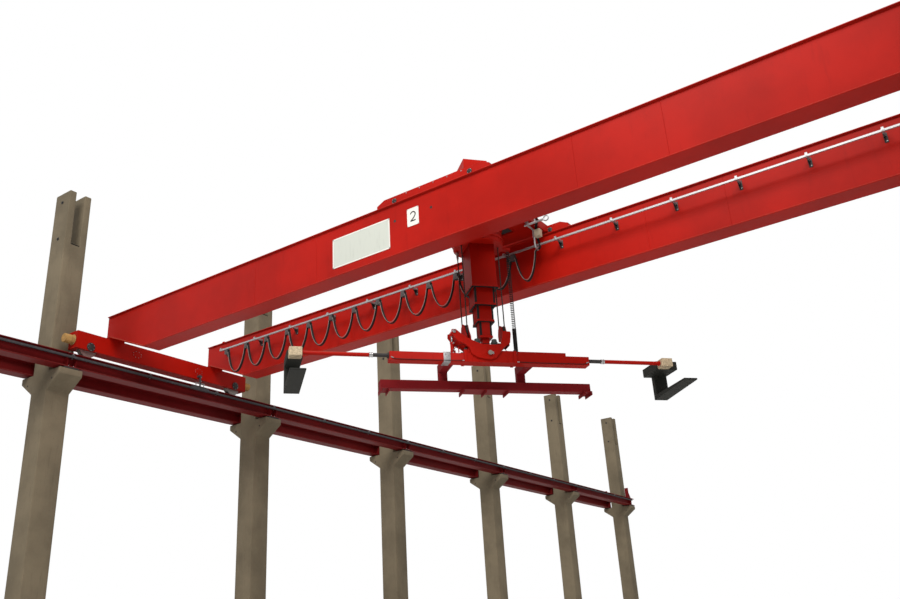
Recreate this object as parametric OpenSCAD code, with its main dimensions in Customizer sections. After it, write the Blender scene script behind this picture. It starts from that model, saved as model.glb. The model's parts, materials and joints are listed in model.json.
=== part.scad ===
// Double-girder bridge crane with a slewing telescopic mast and a fork beam for long packs,
// on its runways and the two rows of concrete columns that carry them.
// X runs across the hall from rail to rail, Y along the runway, Z up from the floor.

/* [Hall] */
// Distance from one column to the next along the runway
bay = 6000; // [5400:100:6400]
// Number of bays
bays = 6; // [4:1:6]
// Distance between the two crane rails
span = 18000; // [17000:100:19000]

/* [Columns] */
// Width of a column across the hall
column_w = 560; // [480:10:620]
// Depth of a column along the runway
column_d = 550; // [480:10:620]
// Gap from a rail's axis to the face of the column beside it
column_gap = 270; // [260:5:320]
// Height of the corbels' top above the floor
corbel_top = 7770; // [7400:10:8200]
// How far a corbel reaches out from the column
corbel_reach = 420; // [420:5:460]
// Height of a corbel's upright nose
corbel_nose = 140; // [100:10:400]
// Height of the slanted part under a corbel
corbel_drop = 300; // [200:10:400]
// Height of the roof beam's seat in the column's fork
roof_seat = 10850; // [10700:50:11500]
// Height of the fork cheeks above the roof beam's seat
cheek_h = 1350; // [800:50:1600]
// Thickness of a fork cheek
cheek_t = 165; // [120:5:180]

/* [Runway] */
// Thickness of the bearing plates on the corbels
bearing_t = 30; // [20:5:50]
// Length of a bearing plate along the runway
bearing_len = 340; // [250:10:450]
// Depth of a runway beam
runway_h = 320; // [300:10:360]
// Width of a runway beam's flanges
flange_w = 300; // [280:5:300]
// Thickness of a runway beam's flanges
flange_t = 22; // [16:1:30]
// Thickness of a runway beam's web
runway_web_t = 14; // [10:1:20]
// Width of the crane rail
rail_w = 60; // [50:5:70]
// Height of the crane rail
rail_h = 40; // [30:5:60]
// Width of a tie plate from the beam to the column
tie_w = 200; // [120:10:300]
// Thickness of a tie plate
tie_t = 15; // [10:1:25]
// How far a tie plate lies on the beam's flange
tie_lap = 60; // [40:5:60]
// Width of an end stop across the rail
stop_w = 170; // [140:5:175]
// Length of an end stop's foot along the rail
stop_len = 450; // [300:10:600]
// Height of an end stop above the beam
stop_h = 500; // [450:10:600]
// Thickness of an end stop's plates
stop_t = 30; // [20:1:40]
// Width of the conductor line's housing
conductor_w = 40; // [30:2:60]
// Height of the conductor line's housing
conductor_h = 40; // [30:5:80]
// Distance from the beam's web to the conductor line's middle
conductor_out = 170; // [165:1:180]
// Distance from the top of the beam down to the conductor line
conductor_drop = 75; // [70:5:120]
// Distance between the conductor line's brackets
conductor_pitch = 2000; // [1500:100:3000]

/* [Bridge] */
// Place of the bridge along the runway
bridge_y = -9500; // [-9600:50:-9000]
// Distance between the middles of the two girders
girder_gap = 2920; // [2800:20:3000]
// Width of a girder over its webs
girder_w = 400; // [360:10:440]
// Depth of a girder
girder_h = 1020; // [900:10:1100]
// Height of the girders' underside above the rails
girder_clear = 30; // [20:5:60]
// How far the girder's top flange stands out beyond a web
flange_lip = 40; // [20:5:50]
// How far the girder's bottom flange stands out beyond a web
bottom_lip = 16; // [10:2:30]
// Thickness of a girder's flanges
girder_flange_t = 20; // [14:1:30]
// Thickness of a girder's webs
girder_web_t = 8; // [6:1:16]
// Distance from a rail's axis to where the girder's underside starts to rise
taper_start = 1400; // [1000:50:2000]
// Width of an end carriage
carriage_w = 300; // [280:5:300]
// Depth of an end carriage
carriage_h = 390; // [350:5:420]
// How far an end carriage runs on past its wheels' axles
carriage_overhang = 350; // [320:10:420]
// Thickness of the plates of carriages and trolley frames
plate_t = 12; // [8:1:16]
// Height of an end carriage's underside above the rail
carriage_clear = 120; // [90:5:140]
// Thickness of the seat plates between girder and carriage
seat_t = 30; // [15:5:50]
// How far a girder's end laps over the end carriage
girder_lap = 90; // [60:5:280]
// Length of a seat plate under a girder's end
seat_len = 80; // [60:5:90]
// Distance between the two wheels of an end carriage
wheelbase = 4200; // [3800:50:4300]
// How far behind the bridge's middle the current collector sits
collector_back = 900; // [600:50:1200]
// Radius of a crane wheel's tread
wheel_r = 200; // [180:5:215]
// Height of a crane wheel's flanges
wheel_flange = 20; // [15:1:25]
// Thickness of a crane wheel's flanges
wheel_flange_t = 20; // [15:1:24]
// Gap on each side between the rail and a wheel's flanges
wheel_play = 8; // [5:1:10]
// Radius of a crane wheel's axle
axle_r = 40; // [30:5:60]
// Length of a buffer's rubber body
buffer_len = 200; // [150:10:400]
// Radius of a buffer
buffer_r = 100; // [90:5:140]
// Thickness of a buffer's base plate
buffer_plate_t = 16; // [10:1:25]
// Width of the trolley rails on the girders
trolley_rail_w = 50; // [40:5:60]
// Height of the trolley rails
trolley_rail_h = 40; // [30:5:50]
// How far the trolley rails stop short of a crane rail's axis
trolley_rail_short = 350; // [200:50:600]

/* [Festoon] */
// Distance from the rear girder's web to the festoon rail's middle
festoon_out = 250; // [200:10:300]
// Height of the festoon rail above the girder's underside
festoon_up = 695; // [600:5:740]
// Width of the festoon rail
festoon_w = 34; // [28:2:44]
// Height of the festoon rail
festoon_h = 36; // [28:2:50]
// How far the festoon rail stops short of a crane rail's axis
festoon_short = 800; // [700:20:1200]
// Distance from the festoon rail's left end to the fixed clamp
festoon_clamp = 250; // [200:10:300]
// Distance between the festoon rail's brackets
festoon_pitch = 1170; // [900:10:1500]
// Number of cable loops from the fixed end to the tow arm
festoon_loops = 13; // [12:1:14]
// Depth of a cable loop below the rail
festoon_dip = 590; // [450:10:650]
// How much narrower the festoon's last loop is, at the tow arm
tow_loop_short = 120; // [60:10:160]
// Diameter of the festoon cable bundle
festoon_cable_d = 36; // [24:2:44]
// Height of a cable hanger below the rail
hanger_drop = 70; // [50:5:100]
// Length of a cable hanger along the rail
hanger_len = 60; // [40:5:80]

/* [Signs] */
// Width of the blank name panel
panel_w = 1350; // [1000:10:1600]
// Height of the blank name panel
panel_h = 600; // [400:10:700]
// Distance of the name panel's middle from the hall's middle
panel_x = -1465; // [-1800:5:-1200]
// Width of the number plate
number_w = 250; // [200:10:320]
// Height of the number plate
number_h = 350; // [280:10:420]
// Distance of the number plate's middle from the hall's middle
number_x = -265; // [-400:5:-200]
// Thickness of the panel and the plate
sign_t = 4; // [2:1:8]
// Height of the panel's underside above the girder's underside
panel_up = 170; // [120:5:300]
// Height of the number plate's underside above the girder's underside
number_up = 450; // [300:5:500]

/* [Trolley] */
// Place of the trolley across the bridge
trolley_x = 20; // [-200:10:400]
// Length of a trolley side frame
frame_len = 2450; // [2400:10:3000]
// Width of a trolley side frame
frame_w = 220; // [200:10:300]
// Height of a trolley side frame
frame_h = 150; // [140:10:320]
// Height of a side frame's underside above the trolley rail
frame_clear = 30; // [20:5:80]
// Size of the cut corners on a side frame
frame_cut = 80; // [60:10:220]
// Length of a side frame's cut corners
frame_bevel = 170; // [60:10:400]
// How far the side frames' middle stands to the right of the mast
frame_shift = 70; // [0:10:100]
// Distance between the trolley's two axles
trolley_base = 1640; // [1600:20:2100]
// Radius of a trolley wheel
trolley_wheel_r = 80; // [70:5:150]
// Radius of a trolley wheel's axle
trolley_axle_r = 25; // [20:1:35]
// Distance between the trolley's two cross beams
cross_gap = 1500; // [1400:20:1600]
// Width of a cross beam
cross_w = 200; // [150:10:240]
// Height of a cross beam
cross_h = 150; // [120:10:260]
// Thickness of the deck plate
deck_t = 20; // [12:1:30]
// Width of the deck plate between the girders
deck_w = 2500; // [2400:20:2500]
// Length of the hatch in the deck, along the girders
hatch_len = 280; // [200:10:320]
// Width of the hatch in the deck
hatch_w = 270; // [200:10:320]
// Distance along the girders from the slewing axis to the hatch
hatch_shift = 80; // [0:10:200]
// Distance from the slewing axis to the hatch's near edge
hatch_back = 550; // [500:10:600]
// Radius of the slewing housing
housing_r = 470; // [450:5:600]
// Radius of the slewing housing's bore
housing_bore_r = 400; // [390:5:460]
// Thickness of the slewing housing's wall
housing_wall = 15; // [10:1:30]
// Height of the bearing ring at the housing's foot
housing_ring_h = 60; // [40:5:90]
// Reach of the tow arm from the trolley's middle
tow_x = 750; // [700:10:790]
// Distance from the slewing axis to the near end of the tow arm
tow_near = 580; // [500:20:640]
// Width of the junction box on the tow arm
box_w = 120; // [80:10:160]
// Depth of the junction box
box_d = 100; // [60:10:120]
// Height of the junction box
box_h = 150; // [100:10:180]
// Distance of the junction box below the deck
box_drop = 90; // [70:10:100]
// Wall of the junction box
box_wall = 5; // [3:1:8]

/* [Mast] */
// Distance of the slewing plate's underside below the girders' top
slew_drop = 520; // [450:10:800]
// Thickness of the slewing plate
slew_t = 80; // [50:5:120]
// Turn of the fork beam from the line across the hall
beam_yaw = 49.3; // [40:0.1:60]
// Size of the outer mast tube
mast_size = 480; // [460:5:500]
// Wall of the outer mast tube
mast_wall = 12; // [8:1:20]
// Distance from the slewing plate's underside to the outer tube's foot
mast_drop = 830; // [500:10:1000]
// Height of the outer mast tube
mast_len = 2650; // [2600:10:2900]
// Size of the second mast stage
stage_two_size = 380; // [360:5:395]
// Wall of the second mast stage
stage_two_wall = 10; // [8:1:16]
// Length of the second mast stage
stage_two_len = 2680; // [2600:10:2700]
// How far the second stage stands out of the outer tube
stage_two_out = 340; // [325:5:400]
// Size of the third mast stage
stage_three_size = 300; // [280:5:310]
// Wall of the third mast stage
stage_three_wall = 10; // [8:1:16]
// Length of the third mast stage
stage_three_len = 2600; // [2500:10:2640]
// How far the third stage stands out of the second
stage_three_out = 310; // [305:5:380]
// Size of the innermost mast stage
inner_size = 220; // [200:5:235]
// Wall of the innermost mast stage
inner_wall = 10; // [8:1:20]
// Length of the innermost mast stage
inner_len = 2520; // [2400:10:2560]
// How far the innermost stage stands out of the third
inner_out = 300; // [300:5:360]
// Height of the guide collar at a stage's foot
collar_h = 40; // [25:1:40]
// Width of a guide collar beyond its tube
collar_lip = 10; // [6:1:24]
// Distance of a rope sheave from the mast's middle along the beam
sheave_s = 355; // [350:5:380]
// Distance of the rope sheaves behind the mast's middle
sheave_back = 40; // [20:5:60]
// Height of the sheaves' axle above the floor
sheave_z = 7000; // [6980:10:7040]
// Radius of a rope sheave
sheave_r = 150; // [130:5:160]
// Width of a rope sheave
sheave_w = 46; // [36:2:50]
// Radius of a sheave's axle
sheave_axle_r = 25; // [18:1:30]
// Thickness of a sheave block's plates
cheek_plate_t = 14; // [8:1:18]
// Radius of the hoist rope
rope_r = 9; // [6:1:12]
// Height of the winch platform above the trolley frames
platform_clear = 40; // [25:5:80]
// Thickness of the winch platform
platform_t = 20; // [12:1:30]
// Half length of the winch platform
platform_half = 1200; // [1180:10:1300]
// Width of the winch platform
platform_w = 900; // [800:10:1000]
// Radius of a winch drum
drum_r = 170; // [150:5:200]
// Length of a winch drum
drum_len = 340; // [300:10:380]
// Height of a winch drum's rims
drum_rim = 30; // [20:1:40]
// Radius of the winch shaft
shaft_r = 35; // [25:1:38]
// Radius of the winch motor
motor_r = 110; // [90:5:140]
// Length of the winch motor
motor_len = 320; // [240:10:400]

/* [Fork beam] */
// Height of the fork beam's middle above the floor
beam_z = 6490; // [6450:5:6500]
// Half length of the fork beam
beam_half = 1860; // [1800:10:2000]
// Width of the fork beam
beam_w = 200; // [180:5:220]
// Height of the outer beam's top above the arms' middle
beam_up = 50; // [48:1:60]
// Depth of the outer beam's underside below the arms' middle
beam_down = 110; // [90:5:120]
// Wall of the fork beam
beam_wall = 8; // [6:1:12]
// Distance of the fork beam's middle from the mast along the beam
beam_shift = 60; // [40:5:80]
// Distance of the fork beam in front of the mast
beam_front = 70; // [50:5:80]
// Length of the guides in the fork beam's ends
guide_len = 300; // [200:10:320]
// Length of the block round the pivot pin
hub_len = 960; // [900:10:980]
// Width of the block round the pivot pin
hub_w = 240; // [230:5:250]
// Height of the block above the beam's middle
hub_up = 110; // [110:5:125]
// Depth of the block below the beam's middle
hub_down = 110; // [90:5:110]
// Height of the raised box on the beam's right half
raise_h = 60; // [40:5:120]
// Length of the raised box
raise_len = 930; // [600:10:960]
// Distance of the raised box from the beam's middle
raise_start = 480; // [470:5:700]
// Radius of a sliding arm
arm_r = 36; // [30:1:40]
// Reach of a sliding arm's tip from the beam's middle
arm_reach = 3350; // [3300:10:3400]
// Wall of a sliding arm
arm_wall = 8; // [5:1:12]
// Distance from the middle of the beam to an arm's inner end
arm_root = 400; // [350:10:450]
// Length of the block on an arm's tip
block_len = 220; // [180:5:260]
// Height of the block on an arm's tip
block_h = 160; // [120:5:180]
// Width of the block on an arm's tip
block_w = 200; // [150:5:240]
// Width of an outer fork
fork_w = 270; // [200:5:300]
// Height of an outer fork's carrying face above the floor
fork_top = 6050; // [6000:5:6060]
// Height of the lower frame's top above the floor
lower_top = 6200; // [6150:10:6260]
// Thickness of an outer fork at its root
fork_t = 90; // [70:5:120]
// Thickness of an outer fork at its tip
fork_tip_t = 30; // [20:2:50]
// Reach of an outer fork in front of the beam's middle
fork_front = 530; // [450:10:600]
// Reach of an outer fork's back behind the beam's middle
fork_back = 650; // [600:10:700]
// Thickness of an outer fork's upright back
fork_leg_t = 110; // [80:5:130]
// Length of the lower frame to the left of the beam's middle
lower_left = 1930; // [1800:10:2100]
// Length of the lower frame to the right of the beam's middle
lower_right = 2080; // [1800:10:2200]
// Height of the lower frame's long member
lower_h = 160; // [120:5:180]
// Width of the lower frame's long member
lower_w = 200; // [150:5:220]
// Width of a hanger between fork beam and lower frame
hanger_w = 160; // [120:5:200]
// Distance between the two hangers' middles
hanger_gap = 1500; // [1400:20:1800]
// How far the brackets stand below the lower frame
bracket_drop = 70; // [40:5:100]
// How far the brackets stand out in front of the lower frame and behind it
bracket_out = 60; // [20:5:80]
// Thickness of a bracket's plates
bracket_t = 15; // [8:1:20]
// Length of the bracket in the middle
middle_bracket = 860; // [600:20:1000]
// Length of the brackets at both ends
end_bracket = 150; // [100:10:240]
// How far the right fork stands outside its block
fork_out = 170; // [0:10:200]
// Radius of the pivot pin
pin_r = 40; // [30:2:44]
// Height of the pivot pin above the beam's middle
pin_up = 50; // [50:5:62]
// Thickness of a yoke plate
yoke_t = 40; // [25:1:50]
// Width of the post between the mast's foot and the yoke
foot_post = 130; // [100:5:150]
// Height of the yoke's bridge above the pivot pin
yoke_up = 160; // [150:5:180]
// Thickness of the yoke's bridge plate
bridge_t = 30; // [20:1:40]
// Radius of the levelling cylinder
cylinder_r = 34; // [25:1:45]
// Distance of the levelling cylinder from the pivot pin
cylinder_s = 700; // [690:5:710]
// Radius of a valve block beside the post
valve_r = 60; // [45:1:62]
// Height of a valve block
valve_h = 150; // [120:5:160]
// Radius of the spiral cable
coil_r = 28; // [24:2:60]
// Radius of the tube that takes the spiral cable
cable_tube_r = 38; // [30:1:45]
// Height of the tube that takes the spiral cable
cable_tube_h = 500; // [400:10:600]
// Distance of the spiral cable from the mast's middle
cable_s = 580; // [575:5:600]

/* [Hidden] */
$fn = 48;
// Gap that keeps a piece just off the one it rests on or slides in
fit = 0.3;
// Gap round a pin or a tube that turns or slides in its bore
run = 0.05;
// Overlap that joins the solids of one piece
weld = 1;
// Gap under a winch drum's rims
drum_gap = 30;
// Gap between a sheave and its block's plates
sheave_gap = 5;

rail_x = span / 2;
column_x = rail_x + column_gap + column_w / 2;
outer_x = column_x + column_w / 2 + column_gap;
runway_half = bays * bay / 2 + column_d / 2;
runway_z = corbel_top + bearing_t;
runway_top = runway_z + runway_h;
rail_top = runway_top + rail_h;

carriage_z = rail_top + carriage_clear;
carriage_top = carriage_z + carriage_h;
carriage_len = wheelbase + 2 * carriage_overhang;
wheel_z = rail_top + fit + wheel_r;
girder_z = rail_top + girder_clear;
girder_top = girder_z + girder_h;
girder_end_z = carriage_top + seat_t;
girder_half = rail_x - carriage_w / 2 + girder_lap;
web_y = girder_gap / 2 - girder_w / 2;

trolley_rail_top = girder_top + trolley_rail_h;
frame_z = trolley_rail_top + frame_clear;
frame_top = frame_z + frame_h;
slew_z = girder_top - slew_drop;
mast_z = slew_z - mast_drop;
stage_two_z = mast_z - stage_two_out;
stage_three_z = stage_two_z - stage_three_out;
inner_z = stage_three_z - inner_out;
platform_z = frame_top + platform_clear;
rope_front = sheave_back - sheave_r;
rope_back = sheave_back + sheave_r;
drum_y = rope_front + rope_r + drum_r;
drum_z = platform_z + platform_t + drum_r + drum_rim + drum_gap;
drum_start = sheave_s - drum_len / 6;
pin_z = beam_z + pin_up;
beam_top = beam_z + beam_up;
beam_low = beam_z - beam_down;
lower_z = lower_top - lower_h;
hub_top = beam_z + hub_up;
yoke_z = pin_z + yoke_up;
yoke_y = hub_w / 2 + fit;
festoon_y = web_y - festoon_out;
festoon_z = girder_z + festoon_up;
festoon_x = -rail_x + festoon_short + festoon_clamp;

red = [0.78, 0.10, 0.05];
dark_red = [0.55, 0.06, 0.08];
concrete = [0.66, 0.62, 0.55];
steel = [0.62, 0.64, 0.66];
dark = [0.10, 0.10, 0.11];
fork_grey = [0.16, 0.19, 0.17];

// Frames of reference
module on_bridge() {
    translate([0, bridge_y, 0]) children();
}

module on_trolley() {
    translate([trolley_x, bridge_y, 0]) children();
}

module on_mast() {
    on_trolley() rotate([0, 0, beam_yaw]) children();
}

module on_beam() {
    on_mast() translate([beam_shift, -beam_front, 0]) children();
}

module both_sides() {
    for (side = [-1, 1]) scale([side, 1, 1]) children();
}

// A box by its low and high corners
module box(low, high) {
    translate(low) cube(high - low);
}

// A box with its middle on the Z axis
module post(width, depth, low, high) {
    box([-width / 2, -depth / 2, low], [width / 2, depth / 2, high]);
}

// A square tube standing on the height z
module square_tube(size, wall, z, len) {
    difference() {
        post(size, size, z, z + len);
        post(size - 2 * wall, size - 2 * wall, z - weld, z + len + weld);
    }
}

// Places of the columns along the runway
function column_y(i) = (i - bays / 2) * bay;

module column_outline() {
    top = corbel_top;
    nose = top - corbel_nose;
    under = nose - corbel_drop;
    half = column_w / 2;
    tip = half + corbel_reach;
    polygon([
        [-half, 0], [half, 0], [half, under], [tip, nose], [tip, top], [half, top],
        [half, roof_seat + cheek_h], [-half, roof_seat + cheek_h], [-half, top], [-tip, top],
        [-tip, nose], [-half, under]
    ]);
}

module column() {
    difference() {
        translate([0, column_d / 2, 0]) rotate([90, 0, 0]) linear_extrude(column_d) column_outline();
        box([-column_w, -column_d / 2 + cheek_t, roof_seat],
            [column_w, column_d / 2 - cheek_t, roof_seat + 2 * cheek_h]);
    }
}

module column_row(x) {
    color(concrete) for (i = [0:bays]) translate([x, column_y(i), 0]) column();
}

module columns_left() { column_row(-column_x); }

module columns_right() { column_row(column_x); }

module bearing_plates() {
    color(dark) for (x = [-outer_x, -rail_x, rail_x, outer_x], i = [0:bays])
        translate([x, column_y(i), 0])
            post(flange_w, min(bearing_len, column_d), corbel_top, runway_z);
}

module runway_beam(x) {
    color(dark_red) translate([x, 0, 0]) {
        post(flange_w, 2 * runway_half, runway_z, runway_z + flange_t);
        post(flange_w, 2 * runway_half, runway_top - flange_t, runway_top);
        post(runway_web_t, 2 * runway_half, runway_z, runway_top);
    }
}

module inner_runway_left() { runway_beam(-rail_x); }

module inner_runway_right() { runway_beam(rail_x); }

module outer_runway_left() { runway_beam(-outer_x); }

module outer_runway_right() { runway_beam(outer_x); }

module crane_rails() {
    color(steel) for (x = [-outer_x, -rail_x, rail_x, outer_x])
        translate([x, 0, 0]) post(rail_w, 2 * (runway_half - stop_len), runway_top, rail_top);
}

// Plates that hold the beams' top flanges to the columns
module side_ties() {
    near = column_gap - flange_w / 2 + tie_lap;
    color(dark) for (x = [-column_x, column_x], side = [-1, 1], i = [0:bays])
        translate([x + side * (column_w + near) / 2, column_y(i), 0])
            post(near, tie_w, runway_top, runway_top + tie_t);
}

module end_stop() {
    post(stop_w, stop_len, 0, stop_t);
    translate([0, stop_t / 2 - stop_len / 2, 0]) post(stop_w, stop_t, 0, stop_h);
    rotate([90, 0, 90]) translate([0, 0, -stop_t / 2]) linear_extrude(stop_t)
        polygon([[-stop_len / 2, 0], [stop_len / 2, 0], [stop_t - stop_len / 2, stop_h]]);
}

module end_stops() {
    stop_y = runway_half - stop_len / 2;
    color(dark_red) for (x = [-outer_x, -rail_x, rail_x, outer_x]) {
        translate([x, stop_y, runway_top]) end_stop();
        translate([x, -stop_y, runway_top]) rotate([0, 0, 180]) end_stop();
    }
}

// The closed conductor line along the left runway, hung from brackets on the web
module conductor_line() {
    line_x = -rail_x + conductor_out;
    line_top = runway_top - conductor_drop;
    web_x = -rail_x + runway_web_t / 2;
    arms = floor((runway_half - 300) / conductor_pitch);
    color(dark) {
        translate([line_x, 0, 0])
            post(conductor_w, 2 * runway_half - 600, line_top - conductor_h, line_top);
        for (i = [-arms:arms])
            box([web_x, i * conductor_pitch - 20, line_top - weld],
                [line_x + conductor_w / 2, i * conductor_pitch + 20, line_top + 25]);
    }
}

// Side view of a girder, with both ends cut up over the end carriages
module girder_outline() {
    polygon([
        [-girder_half, girder_end_z], [-girder_half, girder_top], [girder_half, girder_top],
        [girder_half, girder_end_z], [rail_x - carriage_w / 2, girder_end_z],
        [rail_x - taper_start, girder_z], [taper_start - rail_x, girder_z],
        [carriage_w / 2 - rail_x, girder_end_z]
    ]);
}

// The flange plate that follows a girder's underside
module underside_outline() {
    up = girder_flange_t;
    polygon([
        [-girder_half, girder_end_z], [carriage_w / 2 - rail_x, girder_end_z],
        [taper_start - rail_x, girder_z], [rail_x - taper_start, girder_z],
        [rail_x - carriage_w / 2, girder_end_z], [girder_half, girder_end_z],
        [girder_half, girder_end_z + up], [rail_x - carriage_w / 2, girder_end_z + up],
        [rail_x - taper_start, girder_z + up], [taper_start - rail_x, girder_z + up],
        [carriage_w / 2 - rail_x, girder_end_z + up], [-girder_half, girder_end_z + up]
    ]);
}

// The closed space between a girder's plates
module girder_space() {
    up = girder_flange_t;
    end = girder_half - up;
    polygon([
        [-end, girder_end_z + up], [-end, girder_top - up], [end, girder_top - up],
        [end, girder_end_z + up], [rail_x - carriage_w / 2, girder_end_z + up],
        [rail_x - taper_start, girder_z + up], [taper_start - rail_x, girder_z + up],
        [carriage_w / 2 - rail_x, girder_end_z + up]
    ]);
}

module upright(width) {
    translate([0, width / 2, 0]) rotate([90, 0, 0]) linear_extrude(width) children();
}

module girder(side) {
    color(red) on_bridge() translate([0, side * girder_gap / 2, 0]) {
        difference() {
            union() {
                upright(girder_w) girder_outline();
                upright(girder_w + 2 * bottom_lip) underside_outline();
                post(2 * girder_half, girder_w + 2 * flange_lip, girder_top - girder_flange_t, girder_top);
            }
            upright(girder_w - 2 * girder_web_t) girder_space();
        }
    }
}

module front_girder() { girder(-1); }

module rear_girder() { girder(1); }

module girder_seats() {
    color(red) on_bridge() for (end = [-1, 1], side = [-1, 1])
        translate([end * (girder_half - girder_lap / 2), side * girder_gap / 2, 0])
            post(seat_len, girder_w, carriage_top, girder_end_z);
}

module trolley_rails() {
    color(steel) on_bridge() for (side = [-1, 1]) translate([0, side * girder_gap / 2, 0])
        post(2 * (rail_x - trolley_rail_short), trolley_rail_w, girder_top, trolley_rail_top);
}

// A box carriage with a pocket and a bored axle seat for each wheel
module end_carriage(x) {
    pocket_w = rail_w + 2 * (wheel_play + wheel_flange_t) + 20;
    pocket_r = wheel_r + wheel_flange + 25;
    color(red) on_bridge() translate([x, 0, 0]) difference() {
        post(carriage_w, carriage_len, carriage_z, carriage_top);
        post(carriage_w - 2 * plate_t, wheelbase - 2 * (pocket_r + plate_t), carriage_z + plate_t,
            carriage_top - plate_t);
        for (side = [-1, 1]) translate([0, side * wheelbase / 2, 0]) {
            post(pocket_w, 2 * pocket_r, carriage_z - weld, wheel_z + pocket_r);
            translate([-carriage_w, 0, wheel_z]) rotate([0, 90, 0]) cylinder(r = axle_r + run,
                h = 2 * carriage_w);
        }
    }
}

module left_end_carriage() { end_carriage(-rail_x); }

module right_end_carriage() { end_carriage(rail_x); }

// A flanged wheel on its axle, with the axle along X
module flanged_wheel(tread_r, tread_w, lip, lip_t, pin_r, pin_len) {
    rotate([0, 90, 0]) {
        translate([0, 0, -tread_w / 2]) cylinder(r = tread_r, h = tread_w);
        for (side = [-1, 1]) translate([0, 0, side * (tread_w + lip_t) / 2 - lip_t / 2])
            cylinder(r = tread_r + lip, h = lip_t);
        translate([0, 0, -pin_len / 2]) cylinder(r = pin_r, h = pin_len);
    }
}

module carriage_wheels() {
    color(steel) on_bridge() for (x = [-rail_x, rail_x], side = [-1, 1])
        translate([x, side * wheelbase / 2, wheel_z])
            flanged_wheel(wheel_r, rail_w + 2 * wheel_play, wheel_flange, wheel_flange_t, axle_r,
                carriage_w);
}

module buffers() {
    buffer_z = carriage_z + carriage_h / 2;
    color([0.72, 0.55, 0.30]) on_bridge() for (x = [-rail_x, rail_x], side = [-1, 1])
        translate([x, side * carriage_len / 2, buffer_z]) rotate([-side * 90, 0, 0]) {
            cylinder(r = buffer_r + 20, h = buffer_plate_t);
            cylinder(r = buffer_r, h = buffer_plate_t + buffer_len);
        }
}

// The arm that picks up current from the conductor line
module current_collector() {
    line_z = runway_top - conductor_drop - conductor_h / 2;
    shoe_x = -rail_x + conductor_out + conductor_w / 2 + 10;
    color(dark) on_bridge() translate([0, collector_back, 0]) {
        box([shoe_x, -260, line_z - 50], [shoe_x + 70, 260, line_z + 20]);
        box([shoe_x + 15, -15, line_z], [shoe_x + 45, 15, carriage_z + 80]);
        box([-rail_x + carriage_w / 2, -40, carriage_z + 40], [shoe_x + 45, 40, carriage_z + 80]);
    }
}

// The rail that the cable hangers run in, on arms from the rear girder's web
module festoon_rail() {
    half = rail_x - festoon_short;
    arms = floor(half / festoon_pitch);
    color(steel) on_bridge() {
        box([-half, festoon_y - festoon_w / 2, festoon_z],
            [half, festoon_y + festoon_w / 2, festoon_z + festoon_h]);
        for (i = [-arms:arms])
            box([i * festoon_pitch - 20, festoon_y - festoon_w / 2, festoon_z + festoon_h - weld],
                [i * festoon_pitch + 20, web_y, festoon_z + festoon_h + 40]);
    }
}

// A swept tube with a ring of points round each point of its path
function ring(p, q, r, sides) =
    let (d = (q - p) / norm(q - p), u = [0, 1, 0], v = cross(d, u))
    [for (k = [0:sides - 1]) p + r * (cos(360 * k / sides) * u + sin(360 * k / sides) * v)];

module swept_tube(path, r, sides) {
    n = len(path);
    rings = [for (i = [0:n - 1])
        let (a = path[max(i - 1, 0)], b = path[min(i + 1, n - 1)])
        each ring(path[i], path[i] + (b - a), r, sides)];
    walls = [for (i = [0:n - 2], k = [0:sides - 1])
        let (next = (k + 1) % sides)
        [i * sides + k, (i + 1) * sides + k, (i + 1) * sides + next, i * sides + next]];
    first = [for (k = [0:sides - 1]) k];
    last = [for (k = [sides - 1:-1:0]) (n - 1) * sides + k];
    polyhedron(points = rings, faces = concat(walls, [first, last]), convexity = 10);
}

// Loops of cable between the fixed clamp and the tow arm
festoon_span = trolley_x + tow_x - festoon_x;
loop_pitch = (festoon_span + tow_loop_short) / festoon_loops;
loop_steps = 6;
function loop_x(i) = festoon_x + i * loop_pitch - max(0, i + 1 - festoon_loops) * tow_loop_short;
function loop_path() =
    let (top = festoon_z - hanger_drop - festoon_cable_d / 2)
    [for (i = [0:festoon_loops * loop_steps])
        [loop_x(i / loop_steps), festoon_y,
         top - festoon_dip / 2 * (1 - cos(360 * i / loop_steps))]];

module festoon_cable() {
    color(dark) on_bridge() swept_tube(loop_path(), festoon_cable_d / 2, 8);
}

// The fixed clamp at the left end and the hangers that run along the rail
module cable_hangers() {
    color(steel) on_bridge() for (i = [0:festoon_loops - 1])
        translate([loop_x(i), festoon_y, 0])
            post(hanger_len, festoon_w, festoon_z - hanger_drop, festoon_z);
}

module sign_plate(x, up, width, height) {
    front = -girder_gap / 2 - girder_w / 2;
    box([x - width / 2, front - sign_t, girder_z + up], [x + width / 2, front, girder_z + up + height]);
}

module sign_plates() {
    color([0.93, 0.92, 0.88]) on_bridge() {
        sign_plate(panel_x, panel_up, panel_w, panel_h);
        sign_plate(number_x, number_up, number_w, number_h);
    }
}

module trolley_side_frames() {
    half = frame_len / 2;
    pocket_w = trolley_rail_w + 50;
    pocket_r = trolley_wheel_r + 30;
    wheel_up = trolley_rail_top + fit + trolley_wheel_r;
    color(red) on_trolley() for (side = [-1, 1]) translate([frame_shift, side * girder_gap / 2, 0]) difference() {
        upright(frame_w) polygon([
            [-half, frame_z], [half, frame_z], [half, frame_top - frame_cut],
            [half - frame_bevel, frame_top], [frame_bevel - half, frame_top], [-half, frame_top - frame_cut]
        ]);
        post(trolley_base - 2 * (pocket_r + plate_t), frame_w - 2 * plate_t, frame_z + plate_t,
            frame_top - plate_t);
        for (end = [-1, 1]) translate([end * trolley_base / 2, 0, 0]) {
            post(2 * pocket_r, pocket_w, frame_z - weld, wheel_up + pocket_r - 30);
            translate([0, -frame_w, wheel_up]) rotate([-90, 0, 0])
                cylinder(r = trolley_axle_r + run, h = 2 * frame_w);
        }
    }
}

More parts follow.
